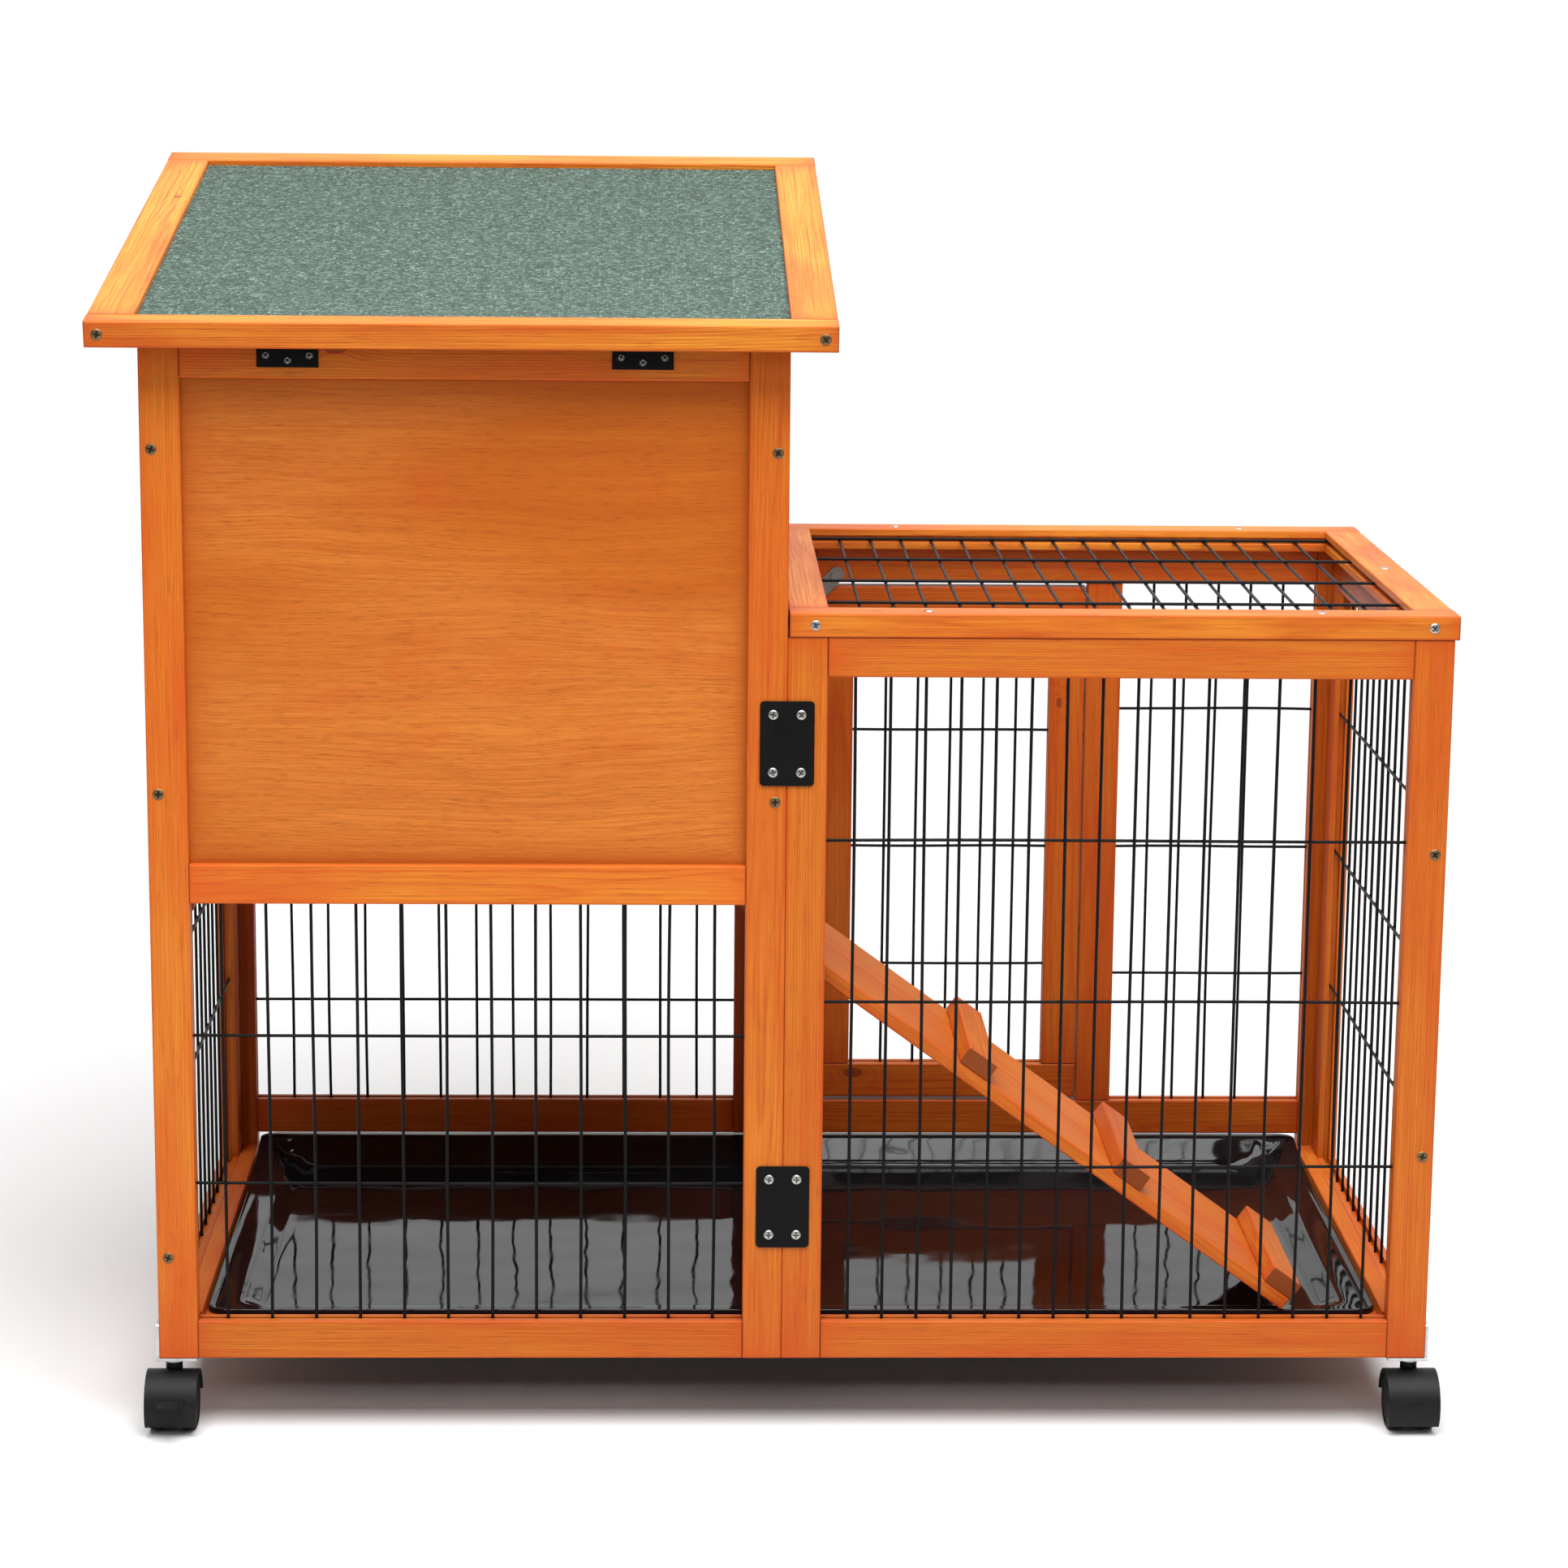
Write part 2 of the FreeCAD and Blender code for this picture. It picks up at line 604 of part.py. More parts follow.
LATCH_HALF = 22.0
LATCH_WIDTH = 12.0
LATCH_CORNER = 5.5
LATCH_OFF = 0.6
LATCH_THICK = 1.5
LATCH_SHANK = 2.0
LATCH_BORE = 2.08
LATCH_HEAD = 4.2
LATCH_WASHER = 4.5
HOUSE_LATCH = (H_IN1 + 12.0, 620.0)
RUN_LATCH = (R0 + FAR_LEFT_POST - 12.0, 330.0)


def latches():
    """Metal turn-buttons on screws beside the doors, standing upright."""
    screws = []
    for name, (x, z) in (("house_latch", HOUSE_LATCH), ("run_latch", RUN_LATCH)):
        inner_y = DEPTH + LATCH_OFF
        outer_y = inner_y + LATCH_THICK
        half = LATCH_WIDTH / 2
        bar = box(x - half, x + half, inner_y, outer_y, z - LATCH_HALF, z + LATCH_HALF)
        bar = round_long_edges(bar, Y_AXIS, LATCH_CORNER)
        nodes[name] = bar.cut(rod((x, DEPTH, z), (x, outer_y + 1.0, z), LATCH_BORE))
        shank = rod((x, DEPTH, z), (x, outer_y + 0.5, z), LATCH_SHANK)
        head = rod((x, outer_y + 0.3, z), (x, outer_y + 2.1, z), LATCH_HEAD)
        washer = rod((x, DEPTH, z), (x, inner_y - 0.2, z), LATCH_WASHER)
        screws.append(shank.fuse(head).fuse(washer))
    nodes["latch_screws"] = Part.makeCompound(screws)


# ---- roof, built flat from its hinge line and then tilted ----
ROOF_PIVOT = Vector(0, 0, NEAR_TOP + ROOF_GAP)
ROOF_X0 = -ROOF_SIDE_OVERHANG
ROOF_X1 = HOUSE_LENGTH + ROOF_SIDE_OVERHANG
ROOF_Y0 = -ROOF_NEAR_OVERHANG
ROOF_Y1 = (DEPTH + ROOF_FAR_OVERHANG) / math.cos(math.radians(ROOF_ANGLE))
ROOF_SCREW_IN = 9.0
ROOF_HINGE_DROP = 3.2
ROOF_HINGE_Y = -3.5
ROOF_HINGES = (102.0, 344.0)
ROOF_HINGE_HALF = 21.0
ROOF_HINGE_KNUCKLES = 5
ROOF_HINGE_LEAF = 1.2
ROOF_HINGE_BARREL = 2.4
ROOF_HINGE_SCREWS = ((-14.8, 8.5), (0.0, 12.0), (14.8, 8.5))
ROOF_HINGE_SCREW_HEAD = (2.4, 0.7)
LOW_LEAF = (17.0, 3.2)
EAVE_LEAF = (17.0, 3.0)


def tilt_roof(shape):
    shape = shape.copy()
    shape.translate(ROOF_PIVOT)
    shape.rotate(ROOF_PIVOT, X_AXIS, ROOF_ANGLE)
    return shape


def roof():
    x0, x1, y0, y1 = ROOF_X0, ROOF_X1, ROOF_Y0, ROOF_Y1
    ix0, ix1 = x0 + ROOF_STILE, x1 - ROOF_STILE
    iy0, iy1 = y0 + ROOF_NEAR_RAIL, y1 - ROOF_FAR_RAIL
    top = ROOF_THICK
    frame = [
        member(x0, x1, y0, iy0, 0, top),
        member(x0, x1, iy1, y1, 0, top),
        member(x0, ix0, iy0, iy1, 0, top),
        member(ix1, x1, iy0, iy1, 0, top),
    ]
    board = box(ix0, ix1, iy0, iy1, *ROOF_BOARD)
    felt = box(ix0, ix1, iy0, iy1, ROOF_BOARD[1], ROOF_FELT_TOP)
    nodes["roof_frame"] = Part.makeCompound([tilt_roof(piece) for piece in frame])
    nodes["roof_board"] = tilt_roof(board)
    nodes["roof_felt"] = tilt_roof(felt)
    screws = []
    for x in (x0 + ROOF_SCREW_IN, x1 - ROOF_SCREW_IN):
        screws.append(screw_head(x, y0, top / 2, Vector(0, -1, 0)))
        screws.append(screw_head(x, y1, top / 2, Vector(0, 1, 0)))
    nodes["roof_screws"] = Part.makeCompound([tilt_roof(piece) for piece in screws])


def roof_hinges():
    """One leaf on the near rail and one under the eave, on a pin along X below the roof."""
    y, thin = ROOF_HINGE_Y, ROOF_HINGE_LEAF
    half_thin = thin / 2
    z = NEAR_TOP + ROOF_GAP + SLOPE * y - ROOF_HINGE_DROP
    bases = []
    leaves = []
    for x in ROOF_HINGES:
        x0, x1 = x - ROOF_HINGE_HALF, x + ROOF_HINGE_HALF
        base = box(x0, x1, -thin, 0, z - LOW_LEAF[0], z - LOW_LEAF[1])
        leaf = tilt_roof(box(x0, x1, y - EAVE_LEAF[0], y - EAVE_LEAF[1], -thin, 0))
        for i, (a, b) in enumerate(knuckle_spans(x0, x1, ROOF_HINGE_KNUCKLES)):
            barrel = rod((a, y, z), (b, y, z), ROOF_HINGE_BARREL)
            if i % 2 == 0:
                tongue = box(a, b, -thin, 0, z - LOW_LEAF[1] - 1.0, z)
                link = box(a, b, y, 0, z - half_thin, z + half_thin)
                base = base.fuse(tongue).fuse(barrel).fuse(link)
            else:
                link = tilt_roof(box(a, b, y - EAVE_LEAF[1] - 0.4, y + half_thin, -thin, 0))
                riser = box(a, b, y - half_thin, y + half_thin, z, z + ROOF_HINGE_DROP - 0.3)
                leaf = leaf.fuse(link).fuse(riser).fuse(barrel)
        for dx, drop in ROOF_HINGE_SCREWS:
            spot = (x + dx, -thin, z - drop)
            base = base.fuse(screw_head(*spot, Vector(0, -1, 0), *ROOF_HINGE_SCREW_HEAD))
        pin_ends = ((x0, y, z), (x1, y, z))
        base = base.fuse(rod(*pin_ends, PIN))
        leaf = leaf.cut(rod(*pin_ends, PIN_BORE))
        bases.append(base.removeSplitter())
        leaves.append(leaf.removeSplitter())
    nodes["roof_hinge_bases"] = Part.makeCompound(bases)
    nodes["roof_hinge_leaves"] = Part.makeCompound(leaves)


# ---- tray and its guides ----
GUIDE_BOTTOM = BASE + 4.0
LEDGE_BOTTOM = BASE + 6.0
LEDGE_WIDTH = 19.0
TRAY_PLAY = 0.3


def guides():
    """Rebated strips that the tray slides on, and a stop strip along the near side."""
    pieces = []
    y0, y1 = THICK, INNER_Y
    ledge_top = TRAY_FLANGE_TOP - TRAY_WALL - TRAY_PLAY
    for outer, inward in ((THICK, 1), (LENGTH - THICK, -1)):
        step = outer + inward * CLEAT
        strip = sorted((outer, step))
        ledge = sorted((step, step + inward * LEDGE_WIDTH))
        pieces.append(member(*strip, y0, y1, GUIDE_BOTTOM, GUIDE_TOP))
        pieces.append(member(*ledge, y0 + CLEAT, y1, LEDGE_BOTTOM, ledge_top))
    x0, x1 = THICK + CLEAT, LENGTH - THICK - CLEAT
    pieces.append(member(x0, x1, THICK, THICK + CLEAT, GUIDE_BOTTOM, NEAR_GUIDE_TOP))
    nodes["tray_guides"] = Part.makeCompound(pieces)


def rounded_rectangle(x0, x1, y0, y1, z, radius):
    face = Part.makePlane(x1 - x0, y1 - y0, Vector(x0, y0, z))
    prism = round_long_edges(face.extrude(Vector(0, 0, 5.0)), Z_AXIS, radius)
    return min(prism.Faces, key=lambda candidate: candidate.CenterOfMass.z)


def inset(rect, side, near, far):
    """A rectangle (x0, x1, y0, y1) drawn in at its sides, its near edge and its far edge."""
    x0, x1, y0, y1 = rect
    return x0 + side, x1 - side, y0 + near, y1 - far


def well(low, high, z0, z1, radius):
    """A block with sloping sides between a lower and an upper rounded rectangle."""
    wires = [rounded_rectangle(*low, z0, radius), rounded_rectangle(*high, z1, radius)]
    return Part.makeLoft([face.OuterWire for face in wires], True, True)


TRAY = (TRAY_SIDE, LENGTH - TRAY_SIDE, THICK + CLEAT + 1.5, DEPTH - 5.0)
TRAY_CORNER = 14.0
TRAY_RIM = 2.5
LIP_INSET = 8.0


def tray_lip(under):
    """The raised, hollow edge on the side that the tray is pulled out by."""
    x0, x1, _, y1 = TRAY
    wall = TRAY_WALL
    foot = y1 - TRAY_FLANGES[2]
    outer = [
        (foot, TRAY_FLANGE_TOP),
        (y1 - TRAY_LIP, TRAY_LIP_TOP),
        (y1, TRAY_LIP_TOP),
        (y1, under),
        (foot, under),
    ]
    hollow = [
        (foot + 2 * wall, under),
        (y1 - TRAY_LIP + wall, TRAY_LIP_TOP - wall),
        (y1 - wall, TRAY_LIP_TOP - wall),
        (y1 - wall, under),
    ]
    ends = (x0 + LIP_INSET, x1 - LIP_INSET)
    lip = prism_along_x(outer, *ends)
    return lip.cut(prism_along_x(hollow, ends[0] + wall, ends[1] - wall))


def tray():
    wall = TRAY_WALL
    under = TRAY_FLANGE_TOP - wall
    body = rounded_rectangle(*TRAY, under, TRAY_CORNER).extrude(Vector(0, 0, TRAY_RIM_TOP - under))
    recess = inset(TRAY, TRAY_RIM, TRAY_RIM, TRAY_RIM)
    recess = rounded_rectangle(*recess, TRAY_FLANGE_TOP, TRAY_CORNER - TRAY_RIM)
    body = body.cut(recess.extrude(Vector(0, 0, 10.0)))
    high = inset(TRAY, *TRAY_FLANGES)
    low = inset(high, *TRAY_SLOPES)
    shell = [inset(rect, -wall, -wall, -wall) for rect in (low, high)]
    body = body.fuse(well(*shell, TRAY_FLOOR - wall, TRAY_FLANGE_TOP, TRAY_CORNER + wall))
    body = body.fuse(tray_lip(under))
    body = body.cut(well(low, high, TRAY_FLOOR, TRAY_FLANGE_TOP + 0.01, TRAY_CORNER))
    nodes["tray"] = body.removeSplitter()


# ---- ramp, built along +X from its pivot and then tilted down ----
PLANK_LOW = 6.0
PLANK_START = -5.0
CLEAT_PAST_END = 1.0
PIVOT_ROD = 2.5
PIVOT_RING = 5.2
PIVOT_PLAY = 0.08
EAR_THICK = 4.0
EARS_IN = (16.0, 20.0)
FLANGE_THICK = 1.5
FLANGE_SPAN = (-4.0, 26.0)


def tilt_ramp(shape):
    shape = shape.copy()
    shape.rotate(Vector(0, 0, 0), Y_AXIS, RAMP_SLOPE)
    shape.translate(Vector(RAMP_PIVOT[0], 0, RAMP_PIVOT[1]))
    return shape


def ramp():
    wide, thick = PLANK
    top = PLANK_LOW + thick
    planks = []
    for i in range(2):
        y0 = RAMP_Y + i * (wide + PLANK_SPACE)
        planks.append(member(PLANK_START, RAMP_LENGTH, y0, y0 + wide, PLANK_LOW, top))
    nodes["ramp_planks"] = Part.makeCompound([tilt_ramp(piece) for piece in planks])
    y0, y1 = RAMP_Y, RAMP_Y + 2 * wide + PLANK_SPACE
    long_side, tall = RAMP_CLEAT
    cleats = []
    for i in range(RAMP_CLEATS):
        end = RAMP_LENGTH + CLEAT_PAST_END - i * RAMP_CLEAT_PITCH
        cleats.append(member(end - long_side, end, y0, y1, top, top + tall))
    nodes["ramp_cleats"] = Part.makeCompound([tilt_ramp(piece) for piece in cleats])
    ears = (y0 + EARS_IN[0], y1 - EARS_IN[1])
    ramp_pivot(*ears)
    ramp_brackets(ears)


def ramp_pivot(ear_y, last_ear_y):
    """The pivot rod, with a flange under the planks between the two brackets."""
    y0, y1 = ear_y + EAR_THICK + 1.0, last_ear_y - 1.0
    pivot = rod((0, ear_y - 2.0, 0), (0, last_ear_y + EAR_THICK + 2.0, 0), PIVOT_ROD)
    flange = box(*FLANGE_SPAN, y0, y1, PLANK_LOW - FLANGE_THICK, PLANK_LOW)
    web = box(-2.0, 2.0, y0, y1, 0, PLANK_LOW)
    nodes["ramp_pivot"] = tilt_ramp(pivot.fuse(flange).fuse(web).removeSplitter())


def ramp_brackets(ears):
    """Two ears on feet that are screwed to the house's right wall."""
    x, z = RAMP_PIVOT
    wall = HOUSE_LENGTH
    brackets = []
    for y in ears:
        ring = rod((x, y, z), (x, y + EAR_THICK, z), PIVOT_RING)
        arm = box(wall, x, y, y + EAR_THICK, z - 4.0, z + 4.0)
        foot = box(wall, wall + FLANGE_THICK, y - 8.0, y + 12.0, z - 7.0, z + 12.0)
        bore = rod((x, y - 1.0, z), (x, y + EAR_THICK + 1.0, z), PIVOT_ROD + PIVOT_PLAY)
        brackets.append(ring.fuse(arm).fuse(foot).cut(bore).removeSplitter())
    nodes["ramp_brackets"] = Part.makeCompound(brackets)


# ---- casters ----
BUSH_RADIUS = 8.0
BUSH_DROP = 3.5
PLATE_REACH = 18.0
PLATE_HALF = 15.0
CHEEK_HEIGHT = 25.0
CHEEK_SPAN = (-13.0, 15.0)
CHEEK_CORNER = 3.0
CHEEK_SCREWS = (-6.0, 8.0)
CHEEK_SCREW_UP = 14.0
CHEEK_SCREW_HEAD = (3.4, 1.0)
STEM_RADIUS = 4.0
TURN_PLAY = 0.08
NECK_RADIUS = 6.0
NECK_FOOT = 12.0
CORE_HALF = 5.0
CORE_DROP = 6.0
HUB_PLAY = 0.5
HOOD_BORE = 21.2
HOOD_SIDE = 1.0
WEB_RADIUS = 22.0
WEB_CUT = 9.0
SKIRT_CUT = 13.0
FRONT_CUT = -2.0
AXLE_RADIUS = 2.5
LEVER_OUT = 3.4
LEVER_UP = 7.0
LEVER_HALF = 7.0
LEVER_RADIUS = 2.4
LEVER_PAD = (1.0, 13.0)
EAR_SPAN = (7.3, 9.8)
EAR_HALF = 2.2
BEYOND = 60.0

CASTERS = {
    "near_left": (CASTER_INSET[0], CASTER_INSET[1], -1, -1),
    "near_right": (LENGTH - CASTER_INSET[0], CASTER_INSET[1], 1, -1),
    "far_left": (CASTER_INSET[0], DEPTH - CASTER_INSET[1], -1, 1),
    "far_right": (LENGTH - CASTER_INSET[0], DEPTH - CASTER_INSET[1], 1, 1),
}
BRAKED = ("near_left", "far_right")


def caster_bracket(x, y, side):
    """A plate under the post with a bush for the stem, and a cheek screwed to the post's side."""
    plate_z = BASE - BRACKET
    face = x + side * CASTER_INSET[0]
    outer = face + side * BRACKET
    plate_x = sorted((x - side * PLATE_REACH, outer))
    plate = box(*plate_x, y - PLATE_HALF, y + PLATE_HALF, plate_z, BASE)
    bush = rod((x, y, plate_z - BUSH_DROP), (x, y, plate_z), BUSH_RADIUS)
    cheek_x = sorted((face, outer))
    cheek_y = y + CHEEK_SPAN[0], y + CHEEK_SPAN[1]
    cheek = box(*cheek_x, *cheek_y, plate_z, BASE + CHEEK_HEIGHT)
    bracket = plate.fuse(bush).fuse(round_top_corners(cheek, BASE + CHEEK_HEIGHT, CHEEK_CORNER))
    for dy in CHEEK_SCREWS:
        spot = (outer, y + dy, BASE + CHEEK_SCREW_UP)
        bracket = bracket.fuse(screw_head(*spot, Vector(side, 0, 0), *CHEEK_SCREW_HEAD))
    bore = rod((x, y, plate_z - BUSH_DROP - 0.5), (x, y, plate_z), STEM_RADIUS + TURN_PLAY)
    return bracket.cut(bore).removeSplitter()


def round_top_corners(plate, top, radius):
    """Round the two corners at the top of an upright plate that faces along X."""
    edges = [e for e in plate.Edges if abs(e.BoundBox.ZMin - top) < 0.01 and e.BoundBox.XLength > 1]
    edges = [e for e in edges if e.BoundBox.YLength < 0.01]
    return plate.makeFillet(radius, edges)


def caster_hood(x, y, wheel_y, trail):
    """Fender round the wheels, the web between them, and the neck up to the stem."""
    wheel_z = WHEEL_RADIUS
    plate_z = BASE - BRACKET
    half = WEB / 2 + HUB_PLAY + WHEEL_WIDTH

    def drum(reach, radius):
        return rod((x - reach, wheel_y, wheel_z), (x + reach, wheel_y, wheel_z), radius)

    def below(y0, y1, cut):
        return box(x - BEYOND, x + BEYOND, *sorted((y0, y1)), wheel_z - BEYOND, wheel_z - cut)

    shell = drum(half + HOOD_SIDE, HOOD_RADIUS).cut(drum(half + 2.0, HOOD_BORE))
    shell = shell.cut(below(wheel_y, wheel_y + trail * BEYOND, SKIRT_CUT))
    shell = shell.cut(below(wheel_y, wheel_y - trail * BEYOND, FRONT_CUT))
    web = drum(WEB / 2, WEB_RADIUS)
    web = web.cut(below(wheel_y - BEYOND, wheel_y + BEYOND, WEB_CUT))
    core_top = plate_z - CORE_DROP
    neck = rod((x, y, wheel_z + NECK_FOOT), (x, y, plate_z - BUSH_DROP - 0.5), NECK_RADIUS)
    neck = neck.cut(drum(half + 2.0, HOOD_BORE))
    core_x = x - WEB / 2, x + WEB / 2
    core = box(*core_x, y - CORE_HALF, y + CORE_HALF, wheel_z, core_top)
    stem = rod((x, y, core_top), (x, y, plate_z - 0.2), STEM_RADIUS)
    hood = shell.fuse(web).fuse(neck).fuse(core).fuse(stem)
    return hood.cut(drum(half, AXLE_RADIUS + TURN_PLAY))


def caster_wheels(x, wheel_y):
    """Two wheels on one axle."""
    wheel_z = WHEEL_RADIUS
    half = WEB / 2 + HUB_PLAY + WHEEL_WIDTH
    wheels = rod((x - half, wheel_y, wheel_z), (x + half, wheel_y, wheel_z), AXLE_RADIUS)
    for way in (-1, 1):
        inner = x + way * (WEB / 2 + HUB_PLAY)
        outer = inner + way * WHEEL_WIDTH
        disc = rod((inner, wheel_y, wheel_z), (outer, wheel_y, wheel_z), WHEEL_RADIUS)
        wheels = wheels.fuse(disc)
    return wheels.removeSplitter()


def caster_brake(hood, x, wheel_y, trail):
    """Adds two ears to the hood, and returns it with the lever that turns between them."""
    y = wheel_y + trail * (HOOD_RADIUS + LEVER_OUT)
    z = WHEEL_RADIUS + LEVER_UP
    half = LEVER_HALF
    pin_half = EAR_SPAN[1] - 0.2
    ear_y = sorted((wheel_y + trail * (HOOD_RADIUS - 2.0), y + trail * EAR_HALF))
    for way in (-1, 1):
        ear_x = sorted((x + way * EAR_SPAN[0], x + way * EAR_SPAN[1]))
        hood = hood.fuse(box(*ear_x, *ear_y, z - EAR_HALF, z + EAR_HALF))
    hood = hood.cut(rod((x - EAR_SPAN[1] - 2.2, y, z), (x + EAR_SPAN[1] + 2.2, y, z), PIN_BORE))
    lever = rod((x - half, y, z), (x + half, y, z), LEVER_RADIUS)
    pin = rod((x - pin_half, y, z), (x + pin_half, y, z), PIN)
    pad_y = sorted(y + trail * reach for reach in LEVER_PAD)
    pad = box(x - half, x + half, *pad_y, z + 0.6, z + LEVER_RADIUS)
    return hood, lever.fuse(pin).fuse(pad).removeSplitter()


def caster(name, x, y, side, trail):
    """Twin-wheel caster; side is its outer side along X, and its wheels trail along Y."""
    wheel_y = y + trail * TRAIL
    hood = caster_hood(x, y, wheel_y, trail)
    if name in BRAKED:
        hood, lever = caster_brake(hood, x, wheel_y, trail)
        nodes["caster_brake_" + name] = lever
    nodes["caster_bracket_" + name] = caster_bracket(x, y, side)
    nodes["caster_hood_" + name] = hood.removeSplitter()
    nodes["caster_wheels_" + name] = caster_wheels(x, wheel_y)


def place_on_origin(shapes):
    """Move every shape so that the origin is at the bottom middle of the whole box."""
    whole = Part.makeCompound(list(shapes.values())).BoundBox
    shift = Vector(-whole.Center.x, -whole.Center.y, -whole.ZMin)
    for shape in shapes.values():
        shape.translate(shift)
    return shift


house_near()
house_far()
house_left()
house_right()
house_floor()
run_near()
run_far()
run_right()
run_lid()
connector_plates()
frame_screws()
door_stop_tab()
door_hinges()
doors()
latches()
roof()
roof_hinges()
guides()
tray()
ramp()
for caster_name, caster_place in CASTERS.items():
    caster(caster_name, *caster_place)
SHIFT = place_on_origin(nodes)

os.makedirs("parts", exist_ok=True)
for node_name, node_shape in nodes.items():
    node_shape.exportStep("parts/" + node_name + ".step")
print(len(nodes), "sub-parts, shift", [round(v, 3) for v in SHIFT])
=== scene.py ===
import json
import math
import random
import bmesh
import bpy
from mathutils import Matrix, Vector

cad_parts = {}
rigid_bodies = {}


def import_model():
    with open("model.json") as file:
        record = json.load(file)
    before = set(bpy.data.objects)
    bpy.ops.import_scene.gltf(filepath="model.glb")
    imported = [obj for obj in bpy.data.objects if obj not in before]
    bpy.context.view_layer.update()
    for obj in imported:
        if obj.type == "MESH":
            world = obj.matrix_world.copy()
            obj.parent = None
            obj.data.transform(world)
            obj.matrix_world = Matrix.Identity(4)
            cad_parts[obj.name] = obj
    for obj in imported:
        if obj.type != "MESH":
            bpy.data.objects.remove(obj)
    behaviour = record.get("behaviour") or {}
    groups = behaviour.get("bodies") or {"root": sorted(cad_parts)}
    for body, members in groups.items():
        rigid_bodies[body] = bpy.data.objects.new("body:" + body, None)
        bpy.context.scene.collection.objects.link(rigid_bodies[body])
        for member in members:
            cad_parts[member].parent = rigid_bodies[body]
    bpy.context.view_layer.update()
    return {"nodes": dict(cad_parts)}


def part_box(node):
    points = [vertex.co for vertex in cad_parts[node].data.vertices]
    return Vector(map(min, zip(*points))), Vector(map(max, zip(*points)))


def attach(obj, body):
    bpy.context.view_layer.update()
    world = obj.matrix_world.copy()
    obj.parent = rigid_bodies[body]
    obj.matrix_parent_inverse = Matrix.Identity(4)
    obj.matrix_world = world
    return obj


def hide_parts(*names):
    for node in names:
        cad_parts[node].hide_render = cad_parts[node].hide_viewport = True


for leftover in list(bpy.data.objects):
    bpy.data.objects.remove(leftover)
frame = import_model()
NODES = frame["nodes"]
BODY_OF = {name: piece.parent.name.split(":", 1)[1] for name, piece in NODES.items()}

# ---- camera: place in metres, angles in radians, lens and sensor in millimetres ----
CAMERA_PLACE = Vector((-0.0838, -3.0069, 1.0447))
CAMERA_YAW = 0.0298
CAMERA_PITCH = 0.2018
CAMERA_ROLL = 0.0099
CAMERA_LENS = 93.46
SENSOR = 36.0

# ---- colours, linear ----
PINE = (0.58, 0.178, 0.018)
# roof and lid frames: paler, yellower copies of the pine, painted light standing in for the stronger
# light from above on the top of the hutch
ROOF_PINE_PAINTED_LIGHT = (0.74, 0.29, 0.028)
LID_PINE_PAINTED_LIGHT = (0.68, 0.235, 0.024)
RAMP_PINE = (0.56, 0.165, 0.016)
INNER_PINE = (0.6, 0.17, 0.02)
PINE_LATE = (0.42, 0.075, 0.009)
PINE_RED = (0.50, 0.068, 0.009)
PINE_DARK = (0.13, 0.024, 0.006)
# inner faces and undersides darker and redder: painted shade, partly a deeper stain
INNER_SHADE_AND_STAIN = (0.82, 0.62, 0.5)
PLY = (0.475, 0.127, 0.011)
PLY_DARK = (0.36, 0.07, 0.006)
PLY_PALE = (0.66, 0.24, 0.05)
END_GRAIN = (0.2, 0.052, 0.014)
FELT_STONES = ((0.010, 0.022, 0.016), (0.045, 0.086, 0.063), (0.1, 0.17, 0.13), (0.25, 0.35, 0.29))
FELT_PATCH = (0.078, 0.118, 0.098)
BLACK_PAINT = (0.0025, 0.0025, 0.0028)
BLACK_PAINT_CLOUD = (0.006, 0.006, 0.0065)
WIRE_RUBBED = (0.05, 0.05, 0.052)
PAINT_SCRATCH = (0.06, 0.06, 0.065)
PLASTIC_BLACK = (0.0035, 0.0035, 0.004)
PLASTIC_WIPED = (0.006, 0.006, 0.007)
TRAY_DUST = (0.05, 0.045, 0.04)
CASTER_BLACK = (0.0055, 0.0055, 0.006)
CASTER_DUST = (0.018, 0.0175, 0.0175)
WHEEL_BLACK = (0.0045, 0.0045, 0.005)
# metals: the plating and its stains
ZINC = (0.56, 0.57, 0.58), (0.33, 0.33, 0.34)
TAB_ZINC = (0.26, 0.25, 0.23), (0.13, 0.125, 0.115)
PATINA = (0.3, 0.29, 0.27), (0.07, 0.06, 0.05)
BRONZE = (0.2, 0.135, 0.07), (0.12, 0.08, 0.04)
SILVER = (0.42, 0.41, 0.39), (0.38, 0.38, 0.37)
# studio floor: the two tones near the hutch, and the rim
FLOOR_PALE = (0.76, 0.76, 0.758), (0.8, 0.8, 0.798)
FLOOR_RIM = (0.97, 0.97, 0.97)

X_AXIS = Vector((1, 0, 0))
Y_AXIS = Vector((0, 1, 0))
Z_AXIS = Vector((0, 0, 1))
MM = 0.001


